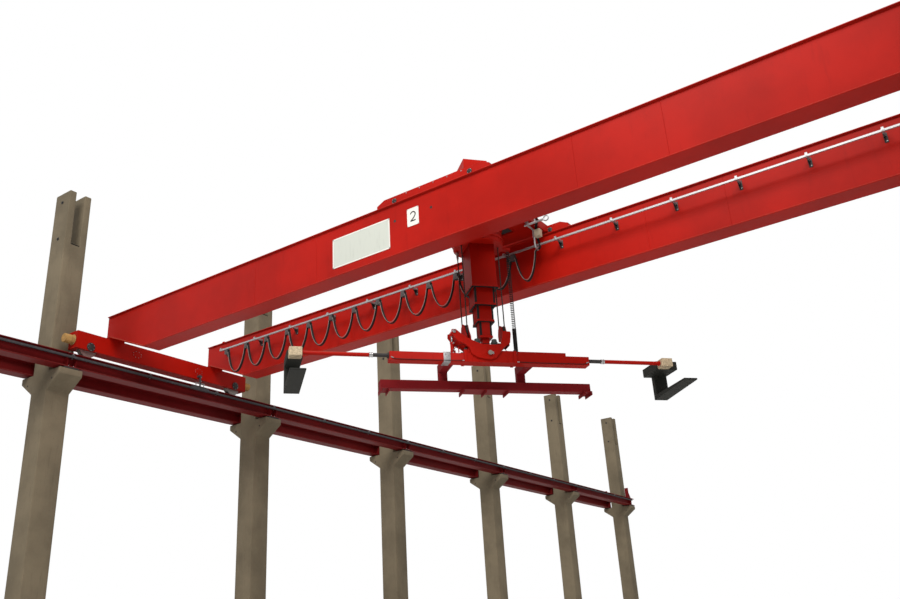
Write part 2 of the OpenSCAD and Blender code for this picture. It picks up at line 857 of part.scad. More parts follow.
module trolley_wheels() {
    axle_z = trolley_rail_top + fit + trolley_wheel_r;
    color(steel) on_trolley() for (side = [-1, 1], end = [-1, 1])
        translate([frame_shift + end * trolley_base / 2, side * girder_gap / 2, axle_z])
            rotate([90, 0, 0]) {
                translate([0, 0, -40]) cylinder(r = trolley_wheel_r, h = 80);
                translate([0, 0, -frame_w / 2]) cylinder(r = trolley_axle_r, h = frame_w);
            }
}

module trolley_cross_beams() {
    half = girder_gap / 2 - frame_w / 2;
    color(red) on_trolley() for (end = [-1, 1]) translate([end * cross_gap / 2, 0, 0]) difference() {
        post(cross_w, 2 * half, frame_z, frame_z + cross_h);
        post(cross_w - 2 * plate_t, 2 * (half - plate_t), frame_z + plate_t, frame_z + cross_h - plate_t);
    }
}

module trolley_deck() {
    color(red) on_trolley() difference() {
        post(cross_gap + cross_w, deck_w, frame_z - deck_t, frame_z);
        translate([0, 0, frame_z - 2 * deck_t]) cylinder(r = housing_bore_r, h = 3 * deck_t);
        box([hatch_shift, hatch_back, frame_z - 2 * deck_t],
            [hatch_shift + hatch_len, hatch_back + hatch_w, frame_z + deck_t]);
    }
}

module slew_housing() {
    low = slew_z + slew_t + fit;
    color(red) on_trolley() translate([0, 0, low]) difference() {
        cylinder(r = housing_r, h = frame_z - deck_t - low);
        translate([0, 0, -weld]) cylinder(r = housing_bore_r, h = frame_z);
        translate([0, 0, housing_ring_h]) cylinder(r = housing_r - housing_wall, h = frame_z);
    }
}

// The arm that pulls the festoon along, down from the deck's rear edge
module festoon_tow_arm() {
    deck_z = frame_z - deck_t;
    color(steel) on_trolley() {
        box([tow_x - 30, tow_near, deck_z - 60], [tow_x + 30, festoon_y - 70, deck_z]);
        box([tow_x - 30, festoon_y - 130, festoon_z - hanger_drop], [tow_x + 30, festoon_y - 70, deck_z]);
        box([tow_x - 25, festoon_y - 130, festoon_z - hanger_drop],
            [tow_x + 25, festoon_y + 25, festoon_z - 10]);
    }
}

module control_box() {
    top = frame_z - deck_t - box_drop;
    middle = festoon_y - 100;
    color([0.75, 0.72, 0.62]) on_trolley() translate([tow_x + 30, middle, 0]) difference() {
        box([0, -box_d / 2, top - box_h], [box_w, box_d / 2, top]);
        box([box_wall, box_wall - box_d / 2, top - box_h + box_wall],
            [box_w - box_wall, box_d / 2 - box_wall, top - box_wall]);
    }
}

module slew_plate() {
    color(red) on_mast() difference() {
        union() {
            translate([0, 0, slew_z]) cylinder(r = housing_r, h = slew_t);
            box([housing_r - 100, -coil_r - 20, slew_z],
                [cable_s + coil_r + 20, coil_r + 20, slew_z + slew_t / 2]);
        }
        post(mast_size, mast_size, slew_z - weld, slew_z + slew_t + weld);
        for (side = [-1, 1]) translate([side * sheave_s, rope_front, slew_z - weld])
            cylinder(r = 2 * rope_r, h = slew_t + 2 * weld);
    }
}

module mast_tube() {
    color(red) on_mast() {
        square_tube(mast_size, mast_wall, mast_z, mast_len);
        collar(mast_size, stage_two_size, mast_z);
    }
}

// The ring at a stage's foot that guides the next stage
module collar(size, inside, z) {
    difference() {
        post(size + 2 * collar_lip, size + 2 * collar_lip, z - collar_h, z);
        post(inside + 2 * fit, inside + 2 * fit, z - 2 * collar_h, z + weld);
    }
}

module winch_platform() {
    color(red) on_mast() difference() {
        post(2 * platform_half, platform_w, platform_z, platform_z + platform_t);
        post(mast_size, mast_size, platform_z - weld, platform_z + platform_t + weld);
        for (side = [-1, 1]) translate([side * sheave_s, rope_front, platform_z - weld])
            cylinder(r = 2 * rope_r, h = platform_t + 2 * weld);
    }
}

// A drum on its shaft beside the mast tube on each side, with a bearing stand at both ends
module winch_drums() {
    low = platform_z + platform_t;
    color(steel) on_mast() both_sides() translate([drum_start, drum_y, 0]) {
        translate([0, 0, drum_z]) rotate([0, 90, 0]) {
            translate([0, 0, -40]) cylinder(r = shaft_r, h = drum_len + 100);
            cylinder(r = drum_r, h = drum_len);
            cylinder(r = drum_r + drum_rim, h = 20);
            translate([0, 0, drum_len - 20]) cylinder(r = drum_r + drum_rim, h = 20);
        }
        box([-40, -70, low], [-10, 70, drum_z + 70]);
        box([drum_len + 10, -70, low], [drum_len + 60, 70, drum_z + 70]);
    }
}

// A gear case and a motor at the outer end of each drum
module winch_motors() {
    low = platform_z + platform_t;
    start = drum_start + drum_len + 60;
    color([0.25, 0.32, 0.30]) on_mast() both_sides() translate([start, drum_y, 0]) {
        box([0, -130, low], [140, 130, drum_z + 130]);
        translate([140 - weld, 0, drum_z]) rotate([0, 90, 0]) cylinder(r = motor_r, h = motor_len);
    }
}

// Two falls of rope on each side: the rear one ends at the slewing plate, the front one at the drum
module hoist_ropes() {
    color(dark) on_mast() for (side = [-1, 1]) translate([side * sheave_s, 0, sheave_z]) {
        translate([0, rope_back, 0]) cylinder(r = rope_r, h = slew_z - sheave_z);
        translate([0, rope_front, 0]) cylinder(r = rope_r, h = drum_z - sheave_z);
    }
}

module spiral_cable() {
    low = beam_top + raise_h + cable_tube_h;
    color(dark) on_mast() translate([cable_s, 0, low]) cylinder(r = coil_r, h = slew_z - low);
}

module mast_stage_two() {
    color(red) on_mast() {
        square_tube(stage_two_size, stage_two_wall, stage_two_z, stage_two_len);
        collar(stage_two_size, stage_three_size, stage_two_z);
    }
}

module mast_stage_three() {
    color(red) on_mast() {
        square_tube(stage_three_size, stage_three_wall, stage_three_z, stage_three_len);
        collar(stage_three_size, inner_size, stage_three_z);
    }
}

module mast_inner_tube() {
    color(red) on_mast() square_tube(inner_size, inner_wall, inner_z, inner_len);
}

// The foot of the innermost stage, a head plate on a stout post down to the yoke
module mast_foot() {
    color(red) on_mast() {
        post(inner_size + 2 * collar_lip, inner_size + 2 * collar_lip, inner_z - collar_h, inner_z);
        post(foot_post, foot_post, yoke_z, inner_z - collar_h + weld);
    }
}

// Outline of a yoke plate round the pivot pin, without its right horn
module yoke_outline() {
    polygon([
        [-735, 426], [-665, 429], [-555, 338], [-466, 282], [-377, 238], [-287, 194], [-173, yoke_up],
        [156, yoke_up], [190, 290], [350, 290], [337, 204], [215, 110], [125, 0], [60, -80],
        [-30, -115], [-150, -110], [-306, -76], [-394, -21], [-433, 95], [-521, 163], [-644, 217], [-739, 355]
    ]);
}

// The horn in front of the right sheave
module yoke_horn() {
    polygon([[190, 285], [215, 425], [356, 420], [363, 373], [350, 285]]);
}

// Two plates that hang the beam from the pin, with a bridge between them under the mast's post
module yoke() {
    y = yoke_y + yoke_t / 2;
    color(red) on_beam() translate([0, 0, pin_z]) difference() {
        union() {
            for (side = [-1, 1]) translate([0, side * y, 0]) upright(yoke_t) yoke_outline();
            translate([0, -y, 0]) upright(yoke_t) yoke_horn();
            box([-300, -yoke_y - weld, yoke_up - bridge_t], [150, yoke_y + weld, yoke_up]);
        }
        translate([-beam_shift, -hub_w, 0]) rotate([-90, 0, 0]) cylinder(r = pin_r + run, h = 2 * hub_w);
    }
}

// Outline of a sheave block's plate, seen along its axle
module cheek_outline() {
    polygon([
        [-120, 6700], [120, 6700], [120, 6860], [215, 6880], [235, 7000], [200, 7120], [110, 7165],
        [20, 7120], [-30, 7000], [-120, 6860]
    ]);
}

// Two plates and an axle for each sheave, on the yoke's plates
module sheave_blocks() {
    out = sheave_w / 2 + sheave_gap + cheek_plate_t;
    color(red) on_beam() for (side = [-1, 1]) translate([side * sheave_s - beam_shift, 0, 0]) {
        for (end = [0, 1]) translate([end * (2 * out - cheek_plate_t) - out, 0, 0]) rotate([90, 0, 90])
            linear_extrude(cheek_plate_t) cheek_outline();
        translate([-out, beam_front + sheave_back, sheave_z]) rotate([0, 90, 0])
            cylinder(r = sheave_axle_r, h = 2 * out);
    }
}

module rope_sheaves() {
    color(dark) on_mast() both_sides() translate([sheave_s - sheave_w / 2, sheave_back, sheave_z])
        rotate([0, 90, 0]) difference() {
            cylinder(r = sheave_r - rope_r, h = sheave_w);
            translate([0, 0, -weld]) cylinder(r = sheave_axle_r + run, h = sheave_w + 2 * weld);
        }
}

module pivot_pin() {
    half = yoke_y + yoke_t + 40;
    color(steel) on_beam() translate([-beam_shift, -half, pin_z]) rotate([-90, 0, 0])
        cylinder(r = pin_r, h = 2 * half);
}

// The hollow outer beam: a hub on the pin, guides in both ends for the arms, a raised box on the right
module fork_beam() {
    solid = beam_shift + 2 * pin_r;
    end = beam_half - guide_len;
    color(red) on_beam() difference() {
        union() {
            post(2 * beam_half, beam_w, beam_low, beam_top);
            translate([-25, 0, 0]) post(hub_len, hub_w, beam_z - hub_down, hub_top);
            box([raise_start, -beam_w / 2, beam_top - weld],
                [raise_start + raise_len, beam_w / 2, beam_top + raise_h]);
        }
        both_sides() box([solid, beam_wall - beam_w / 2, beam_low + beam_wall],
            [end, beam_w / 2 - beam_wall, beam_top - beam_wall]);
        box([raise_start + beam_wall, beam_wall - beam_w / 2, beam_top],
            [raise_start + raise_len - beam_wall, beam_w / 2 - beam_wall, beam_top + raise_h - beam_wall]);
        both_sides() translate([end - weld, 0, beam_z]) rotate([0, 90, 0])
            cylinder(r = arm_r + run, h = guide_len + 2 * weld);
        translate([-beam_shift, -hub_w, pin_z]) rotate([-90, 0, 0])
            cylinder(r = pin_r + run, h = 2 * hub_w);
    }
}

// Side view of a hanger, from the back of the beam out and down to the lower frame
module hanger_outline(wall) {
    low = lower_top + wall;
    under = beam_low + wall;
    top = beam_top - wall;
    near = beam_w / 2 + wall;
    leg = fork_back - fork_leg_t + wall;
    far = fork_back - wall;
    polygon([[near, under], [leg, under], [leg, low], [far, low], [far, top], [near, top]]);
}

// The long member behind the forks, on two hangers
module lower_frame() {
    color(dark_red) on_beam() {
        difference() {
            box([-lower_left, fork_back - lower_w, lower_z], [lower_right, fork_back, lower_top]);
            box([plate_t - lower_left, fork_back - lower_w + plate_t, lower_z + plate_t],
                [lower_right - plate_t, fork_back - plate_t, lower_top - plate_t]);
        }
        for (side = [-1, 1]) translate([side * hanger_gap / 2, 0, 0]) rotate([90, 0, 90]) difference() {
            translate([0, 0, -hanger_w / 2]) linear_extrude(hanger_w) hanger_outline(0);
            translate([0, 0, plate_t - hanger_w / 2]) linear_extrude(hanger_w - 2 * plate_t)
                hanger_outline(plate_t);
        }
    }
}

// Plates across the lower frame's underside, held by a cover plate
module bracket(start, stop, plates) {
    front = fork_back - lower_w - bracket_out;
    back = fork_back + bracket_out;
    cover = lower_z - bracket_t;
    box([start, front, cover], [stop, back, lower_z]);
    for (i = [0:plates - 1])
        translate([start + i * (stop - start - bracket_t) / (plates - 1), 0, 0])
            box([0, front, lower_z - bracket_drop], [bracket_t, back, cover + weld]);
}

module frame_brackets() {
    color(dark_red) on_beam() {
        bracket(-lower_left, end_bracket - lower_left, 2);
        bracket(-middle_bracket / 2, middle_bracket / 2, 3);
        bracket(lower_right - end_bracket, lower_right, 2);
    }
}

module cable_tube() {
    color(dark) on_mast() translate([cable_s, 0, beam_top + raise_h]) difference() {
        cylinder(r = cable_tube_r, h = cable_tube_h);
        translate([0, 0, 20]) cylinder(r = cable_tube_r - 5, h = cable_tube_h);
    }
}

// The levelling cylinder at the yoke's left end and two valve blocks beside the post
module hydraulic_unit() {
    eye_z = pin_z + 385;
    color(fork_grey) on_beam() {
        translate([-cylinder_s, 0, 0]) {
            post(60, 50, beam_top, beam_top + 70);
            translate([0, 0, beam_top + 60]) cylinder(r = cylinder_r, h = 190);
            translate([0, 0, beam_top + 240]) cylinder(r = cylinder_r / 2, h = eye_z - beam_top - 240);
            translate([0, -yoke_y, eye_z]) rotate([-90, 0, 0]) cylinder(r = 20, h = 2 * yoke_y);
        }
        for (s = [-235, 90]) translate([s, 0, yoke_z]) cylinder(r = valve_r, h = valve_h);
    }
}

// A tube that slides in the beam
module arm(side) {
    arm_len = arm_reach - arm_root;
    color(red) on_beam() scale([side, 1, 1]) translate([arm_root, 0, beam_z]) rotate([0, 90, 0])
        difference() {
            cylinder(r = arm_r, h = arm_len);
            translate([0, 0, -weld]) cylinder(r = arm_r - arm_wall, h = arm_len + 2 * weld);
        }
}

module arm_block(side) {
    color([0.85, 0.80, 0.68]) on_beam() scale([side, 1, 1]) translate([arm_reach, 0, beam_z])
        box([0, -block_w / 2, -block_h / 2], [block_len, block_w / 2, block_h / 2]);
}

// A fork below, an upright back, and an arm above it that holds it to the block
module outer_fork(side, out) {
    low = fork_top - fork_t;
    top = beam_z + block_h / 2;
    leg = fork_back - fork_leg_t;
    under = beam_z - block_h / 2;
    wall = plate_t;
    near = block_w / 2;
    span = fork_w + out;
    color(fork_grey) on_beam() scale([side, 1, 1])
        translate([arm_reach + (block_len - fork_w) / 2, 0, 0]) rotate([90, 0, 90]) difference() {
            union() {
                translate([0, 0, out]) linear_extrude(fork_w) polygon([
                    [-fork_front, fork_top - fork_tip_t], [-fork_front, fork_top], [leg, fork_top],
                    [leg, top], [fork_back, top], [fork_back, low]
                ]);
                linear_extrude(span) polygon([
                    [near, under], [near, top], [fork_back, top], [fork_back, under]
                ]);
            }
            translate([0, 0, out + wall]) linear_extrude(fork_w - 2 * wall) polygon([
                [leg + wall, fork_top], [leg + wall, top - wall], [fork_back - wall, top - wall],
                [fork_back - wall, fork_top]
            ]);
            translate([0, 0, wall]) linear_extrude(span - 2 * wall) polygon([
                [near + wall, under + wall], [near + wall, top - wall], [fork_back - wall, top - wall],
                [fork_back - wall, under + wall]
            ]);
        }
}

module left_arm() { arm(-1); }

module left_arm_block() { arm_block(-1); }

module left_fork() { outer_fork(-1, 0); }

module right_arm() { arm(1); }

module right_arm_block() { arm_block(1); }

module right_fork() { outer_fork(1, fork_out); }

columns_left();
columns_right();
bearing_plates();
inner_runway_left();
inner_runway_right();
outer_runway_left();
outer_runway_right();
crane_rails();
side_ties();
end_stops();
conductor_line();
front_girder();
rear_girder();
girder_seats();
trolley_rails();
left_end_carriage();
right_end_carriage();
carriage_wheels();
buffers();
current_collector();
festoon_rail();
festoon_cable();
cable_hangers();
sign_plates();
trolley_side_frames();
trolley_cross_beams();
trolley_deck();
slew_housing();
trolley_wheels();
festoon_tow_arm();
control_box();
slew_plate();
mast_tube();
winch_platform();
winch_drums();
winch_motors();
hoist_ropes();
spiral_cable();
mast_stage_two();
mast_stage_three();
mast_inner_tube();
mast_foot();
yoke();
sheave_blocks();
rope_sheaves();
pivot_pin();
fork_beam();
lower_frame();
frame_brackets();
cable_tube();
hydraulic_unit();
left_arm();
left_arm_block();
left_fork();
right_arm();
right_arm_block();
right_fork();
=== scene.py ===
"""Looks of the bridge crane: its camera and light, the finish of every part, and the detail on them."""
import json
import math
from contextlib import contextmanager

import bmesh
import bpy
from mathutils import Matrix, Vector


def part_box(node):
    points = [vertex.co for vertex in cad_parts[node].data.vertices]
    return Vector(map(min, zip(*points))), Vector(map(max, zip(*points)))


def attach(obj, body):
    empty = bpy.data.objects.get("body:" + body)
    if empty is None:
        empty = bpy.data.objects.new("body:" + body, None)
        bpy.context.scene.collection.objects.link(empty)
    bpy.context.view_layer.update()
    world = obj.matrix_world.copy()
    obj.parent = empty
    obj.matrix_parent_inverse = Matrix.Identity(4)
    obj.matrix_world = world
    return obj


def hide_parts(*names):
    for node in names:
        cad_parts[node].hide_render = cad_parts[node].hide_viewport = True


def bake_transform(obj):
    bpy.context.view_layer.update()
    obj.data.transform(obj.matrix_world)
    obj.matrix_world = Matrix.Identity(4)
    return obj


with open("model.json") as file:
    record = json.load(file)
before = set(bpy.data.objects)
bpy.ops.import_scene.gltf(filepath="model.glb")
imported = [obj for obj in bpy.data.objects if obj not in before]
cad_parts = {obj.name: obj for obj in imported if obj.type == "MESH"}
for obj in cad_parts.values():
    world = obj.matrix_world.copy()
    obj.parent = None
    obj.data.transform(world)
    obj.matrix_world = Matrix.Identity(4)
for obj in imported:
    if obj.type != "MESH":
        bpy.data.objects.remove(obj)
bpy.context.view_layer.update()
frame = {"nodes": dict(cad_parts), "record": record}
scene = bpy.context.scene

BEHAVIOUR = frame["record"]["behaviour"]
JOINTS = {joint["name"]: joint for joint in BEHAVIOUR["joints"]}


def box_of(node):
    """The node's lowest and highest corner, in metres, to a tenth of a millimetre."""
    return [[round(float(c), 4) for c in corner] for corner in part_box(node)]


# Places that the construction fixes, in metres
TROLLEY_X, BRIDGE_Y, SLEW_Z = JOINTS["slew"]["pos_m"]
BEAM_TURN = math.radians(49.3)
TROLLEY = Matrix.Translation((TROLLEY_X, BRIDGE_Y, 0))
MAST = TROLLEY @ Matrix.Rotation(BEAM_TURN, 4, "Z")
BEAM = MAST @ Matrix.Translation((0.06, -0.07, 0))
WORLD = Matrix.Identity(4)
SIDES = ((-1, "left"), (1, "right"))
UP = (0, 0, 1)
DOWN = (0, 0, -1)


# Camera, floor and light
CAMERA_PLACE = Vector((7.6, -22.16, 1.65))
CAMERA_RIGHT = Vector((0.8225, 0.5659, -0.0569))
CAMERA_BACK = Vector((0.5064, -0.7743, -0.3795))
CAMERA_LENS = 34.48
SENSOR_WIDTH = 36.0
CAMERA_REACH = 400.0
FLOOR_HALF = 120.0
FLOOR_Z = -0.005
SKY_STRENGTH = 0.44
SKY_COLOUR = (1.0, 0.985, 0.96, 1)
SUNS = (("key_sun", (-0.42, 0.80, -0.62), 1.25, 25, (1.0, 0.97, 0.93)),
        ("fill_sun", (0.75, 0.45, -0.35), 0.40, 50, (0.93, 0.96, 1.0)),
        ("back_sun", (0.2, -0.9, -0.7), 0.35, 50, (1.0, 0.98, 0.95)))
SKYLIGHT_PLACE = Vector((3.5, -17.5, 17.0))
SKYLIGHT_AIM = Vector((1.0, -10.5, 8.7))
SKYLIGHT_SIZE = (9.0, 5.0)
SKYLIGHT_POWER = 1100
SKYLIGHT_COLOUR = (1.0, 0.98, 0.95)


def aim_camera():
    data = bpy.data.cameras.new("camera")
    data.lens = CAMERA_LENS
    data.sensor_width = SENSOR_WIDTH
    data.clip_end = CAMERA_REACH
    camera = bpy.data.objects.new("camera", data)
    right = CAMERA_RIGHT.normalized()
    back = CAMERA_BACK.normalized()
    up = back.cross(right).normalized()
    right = up.cross(back)
    place = Matrix((right, up, back)).transposed().to_4x4()
    place.translation = CAMERA_PLACE
    camera.matrix_world = place
    scene.collection.objects.link(camera)
    scene.camera = camera


def lay_floor():
    mesh = bpy.data.meshes.new("studio_floor")
    corners = [(x * FLOOR_HALF, y * FLOOR_HALF, FLOOR_Z) for x, y in ((-1, -1), (1, -1), (1, 1), (-1, 1))]
    mesh.from_pydata(corners, [], [(0, 1, 2, 3)])
    floor = bpy.data.objects.new("studio_floor", mesh)
    scene.collection.objects.link(floor)
    finish = Finish("studio_floor", roughness=0.9, specular=0.2)
    finish.colour((0.80, 0.80, 0.79))
    mesh.materials.append(finish.material)


def light_sky():
    """Soft light from all round, seen by the camera as plain white."""
    world = bpy.data.worlds.new("studio")
    world.use_nodes = True
    scene.world = world
    net = world.node_tree
    net.nodes.clear()
    output = net.nodes.new("ShaderNodeOutputWorld")
    light = net.nodes.new("ShaderNodeBackground")
    light.inputs["Color"].default_value = SKY_COLOUR
    light.inputs["Strength"].default_value = SKY_STRENGTH
    white = net.nodes.new("ShaderNodeBackground")
    white.inputs["Color"].default_value = (1, 1, 1, 1)
    white.inputs["Strength"].default_value = 1.0
    path = net.nodes.new("ShaderNodeLightPath")
    either = net.nodes.new("ShaderNodeMath")
    either.operation = "MAXIMUM"
    net.links.new(path.outputs["Is Camera Ray"], either.inputs[0])
    net.links.new(path.outputs["Is Transmission Ray"], either.inputs[1])
    mix = net.nodes.new("ShaderNodeMixShader")
    net.links.new(either.outputs[0], mix.inputs[0])
    net.links.new(light.outputs[0], mix.inputs[1])
    net.links.new(white.outputs[0], mix.inputs[2])
    net.links.new(mix.outputs[0], output.inputs["Surface"])


def hang_lamps():
    for name, towards, strength, angle, colour in SUNS:
        data = bpy.data.lights.new(name, "SUN")
        data.energy = strength
        data.angle = math.radians(angle)
        data.color = colour
        lamp = bpy.data.objects.new(name, data)
        lamp.rotation_euler = Vector(towards).to_track_quat("-Z", "Y").to_euler()
        scene.collection.objects.link(lamp)
    data = bpy.data.lights.new("skylight", "AREA")
    data.shape = "RECTANGLE"
    data.size, data.size_y = SKYLIGHT_SIZE
    data.energy = SKYLIGHT_POWER
    data.color = SKYLIGHT_COLOUR
    lamp = bpy.data.objects.new("skylight", data)
    lamp.location = SKYLIGHT_PLACE
    lamp.rotation_euler = (SKYLIGHT_AIM - SKYLIGHT_PLACE).to_track_quat("-Z", "Y").to_euler()
    lamp.visible_camera = False
    scene.collection.objects.link(lamp)


# Finishes
WAVE_SCALE = 0.314


class Val:
    """A socket with a number on it; sums and products of it add Math nodes."""

    def __init__(self, finish, socket):
        self.finish = finish
        self.socket = socket

    def maths(self, operation, first, second):
        node = self.finish.node("ShaderNodeMath", {"operation": operation}, {0: first, 1: second})
        return Val(self.finish, node.outputs[0])

    def __add__(self, other):
        return self.maths("ADD", self, other)

    def __radd__(self, other):
        return self.maths("ADD", other, self)

    def __rsub__(self, other):
        return self.maths("SUBTRACT", other, self)

    def __mul__(self, other):
        return self.maths("MULTIPLY", self, other)

    def band(self, low, high):
        """0 below low, 1 above high, smooth between them."""
        node = self.finish.node("ShaderNodeMapRange", {"interpolation_type": "SMOOTHSTEP"},
                                {"Value": self, "From Min": low, "From Max": high})
        return Val(self.finish, node.outputs[0])


class Finish:
    """A procedural finish, built on one Principled shader."""

    def __init__(self, name, roughness=0.5, metallic=0.0, specular=0.5, coat=0.0):
        self.material = bpy.data.materials.new(name)
        self.material.use_nodes = True
        self.net = self.material.node_tree
        self.net.nodes.clear()
        self.output = self.node("ShaderNodeOutputMaterial")
        self.shader = self.node("ShaderNodeBsdfPrincipled", {}, {
            "Roughness": roughness, "Metallic": metallic, "Specular IOR Level": specular,
            "Coat Weight": coat, "Coat Roughness": 0.15})
        self.net.links.new(self.shader.outputs[0], self.output.inputs["Surface"])
        self.heights = []

    def node(self, kind, settings=None, sockets=None):
        node = self.net.nodes.new(kind)
        for key, value in (settings or {}).items():
            setattr(node, key, value)
        for key, value in (sockets or {}).items():
            socket = node.inputs[key]
            if isinstance(value, Val):
                self.net.links.new(value.socket, socket)
            elif isinstance(value, bpy.types.NodeSocket):
                self.net.links.new(value, socket)
            elif isinstance(value, (tuple, list)) and len(value) == 3 and socket.type == "RGBA":
                socket.default_value = (*value, 1)
            else:
                socket.default_value = value
        return node

    def place(self, stretch=(1, 1, 1), turn=(0, 0, 0)):
        """Points of the surface, stretched and turned."""
        where = self.node("ShaderNodeTexCoord")
        sockets = {"Vector": where.outputs["Object"], "Scale": stretch, "Rotation": turn}
        return self.node("ShaderNodeMapping", {}, sockets).outputs[0]

    def facing(self, axis):
        """The surface normal's part along X, Y or Z."""
        geometry = self.node("ShaderNodeNewGeometry")
        split = self.node("ShaderNodeSeparateXYZ", {}, {0: geometry.outputs["Normal"]})
        return Val(self, split.outputs[axis])

    def noise(self, size, detail=4.0, rough=0.55, stretch=(1, 1, 1), turn=(0, 0, 0)):
        """Soft blotches about `size` metres across."""
        node = self.node("ShaderNodeTexNoise", {}, {
            "Vector": self.place(stretch, turn), "Scale": 1.0 / size, "Detail": detail,
            "Roughness": rough})
        return Val(self, node.outputs[0])

    def cells(self, size):
        """The distance from the middles of cells about `size` metres across."""
        node = self.node("ShaderNodeTexVoronoi", {}, {"Vector": self.place(), "Scale": 1.0 / size})
        return Val(self, node.outputs["Distance"])

    def waves(self, size, turn):
        """Straight bands, one each `size` metres."""
        node = self.node("ShaderNodeTexWave", {"bands_direction": "X"}, {
            "Vector": self.place(turn=turn), "Scale": WAVE_SCALE / size})
        return Val(self, node.outputs[1])

    def blend(self, low, high, amount):
        """Colour low where amount is 0, high where it is 1."""
        node = self.node("ShaderNodeMix", {"data_type": "RGBA"}, {0: amount, 6: low, 7: high})
        return node.outputs[2]

    def colour(self, value):
        if isinstance(value, (tuple, list)):
            self.shader.inputs["Base Color"].default_value = (*value, 1)
        else:
            self.net.links.new(value, self.shader.inputs["Base Color"])

    def rough(self, value):
        self.net.links.new(value.socket, self.shader.inputs["Roughness"])

    def metal(self, value):
        self.net.links.new(value.socket, self.shader.inputs["Metallic"])

    def relief(self, height, depth):
        """Raises the surface by height times depth metres."""
        bump = self.node("ShaderNodeBump", {}, {"Strength": 1.0, "Distance": depth, "Height": height})
        if self.heights:
            self.net.links.new(self.heights[-1].outputs[0], bump.inputs["Normal"])
        self.heights.append(bump)
        self.net.links.new(bump.outputs[0], self.shader.inputs["Normal"])


def shade(colour, factor):
    return tuple(min(1.0, c * factor) for c in colour)


def crane_paint(name, base, dust=(0.34, 0.20, 0.13), gloss=0.34, grime=0.35):
    """Brushed-on semi-gloss paint with slight waves in the plate and dust on what faces up."""
    paint = Finish(name, roughness=gloss, specular=0.1)
    blotch = paint.noise(1.6, 5.0, 0.6)
    fine = paint.noise(0.09, 6.0, 0.6)
    streak = paint.noise(0.35, 4.0, 0.6, stretch=(3.5, 3.5, 0.5))
    tone = paint.blend(shade(base, 0.86), shade(base, 1.10), blotch.band(0.32, 0.68))
    tone = paint.blend(tone, shade(base, 0.62), streak.band(0.56, 0.82) * grime)
    settled = paint.facing(2).band(0.55, 0.98) * (0.35 + fine * 0.5)
    tone = paint.blend(tone, dust, settled)
    chips = paint.noise(0.045, 8.0, 0.72).band(0.735, 0.75) * 0.7
    tone = paint.blend(tone, shade(base, 0.25), chips)
    paint.colour(tone)
    paint.rough(gloss + blotch * 0.10 + settled * 0.35 + fine * 0.06)
    paint.relief(paint.noise(0.9, 2.0, 0.4), 0.0035)
    paint.relief(paint.noise(0.006, 3.0, 0.5), 0.00025)
    return paint.material


def cast_concrete(name):
    """Grey-beige precast concrete with pores, runs of water and darker clouds."""
    cast = Finish(name, roughness=0.88, specular=0.3)
    cloud = cast.noise(1.1, 6.0, 0.6)
    fine = cast.noise(0.05, 7.0, 0.65)
    run = cast.noise(0.22, 5.0, 0.6, stretch=(4.0, 4.0, 0.35))
    base = (0.182, 0.148, 0.098)
    tone = cast.blend(shade(base, 0.80), shade(base, 1.18), cloud.band(0.28, 0.72))
    tone = cast.blend(tone, shade(base, 0.60), run.band(0.55, 0.80) * 0.55)
    tone = cast.blend(tone, shade(base, 1.35), fine.band(0.55, 0.75) * 0.35)
    pores = 1.0 - cast.cells(0.055).band(0.06, 0.13)
    pores = pores * cast.noise(0.13, 2.0, 0.5).band(0.52, 0.60)
    tone = cast.blend(tone, shade(base, 0.40), pores * 0.8)
    cast.colour(tone)
    cast.rough(0.80 + fine * 0.15)
    cast.relief(cloud, 0.004)
    cast.relief(fine, 0.0012)
    cast.relief(0.0 - pores, 0.004)
    return cast.material


def bare_metal(name, base, gloss=0.38, rust=(0.16, 0.07, 0.03), rusty=0.35, metallic=0.85):
    """Worn bare steel with fine scratches and some rust."""
    bare = Finish(name, roughness=gloss, metallic=metallic)
    cloud = bare.noise(0.25, 6.0, 0.65)
    fine = bare.noise(0.012, 6.0, 0.7)
    spots = (cloud * 0.7 + fine * 0.3).band(0.50, 0.66) * rusty
    tone = bare.blend(shade(base, 0.8), shade(base, 1.15), fine.band(0.3, 0.7))
    bare.colour(bare.blend(tone, rust, spots))
    bare.rough(gloss + spots * 0.4 + fine * 0.15)
    bare.metal(metallic - spots * 0.7)
    bare.relief(fine, 0.0006)
    return bare.material


def zinc_coat(name):
    """Dull galvanised steel with its spangle."""
    zinc = Finish(name, roughness=0.42, metallic=0.75)
    spangle = zinc.cells(0.02)
    cloud = zinc.noise(0.4, 4.0, 0.6)
    tone = zinc.blend((0.36, 0.37, 0.38), (0.52, 0.53, 0.54), spangle.band(0.1, 0.8))
    zinc.colour(zinc.blend(tone, (0.30, 0.30, 0.30), cloud.band(0.55, 0.8) * 0.5))
    zinc.rough(0.36 + spangle * 0.2)
    zinc.relief(cloud, 0.001)
    return zinc.material


def rubber_skin(name, base=(0.011, 0.010, 0.010), gloss=0.55):
    """Matt rubber or plastic sheath, a little dusty."""
    skin = Finish(name, roughness=gloss, specular=0.22)
    dust = skin.noise(0.06, 6.0, 0.65)
    skin.colour(skin.blend(base, shade(base, 2.2), dust.band(0.45, 0.85) * 0.7))
    skin.rough(gloss - 0.06 + dust * 0.2)
    skin.relief(skin.noise(0.004, 3.0, 0.5), 0.0004)
    return skin.material


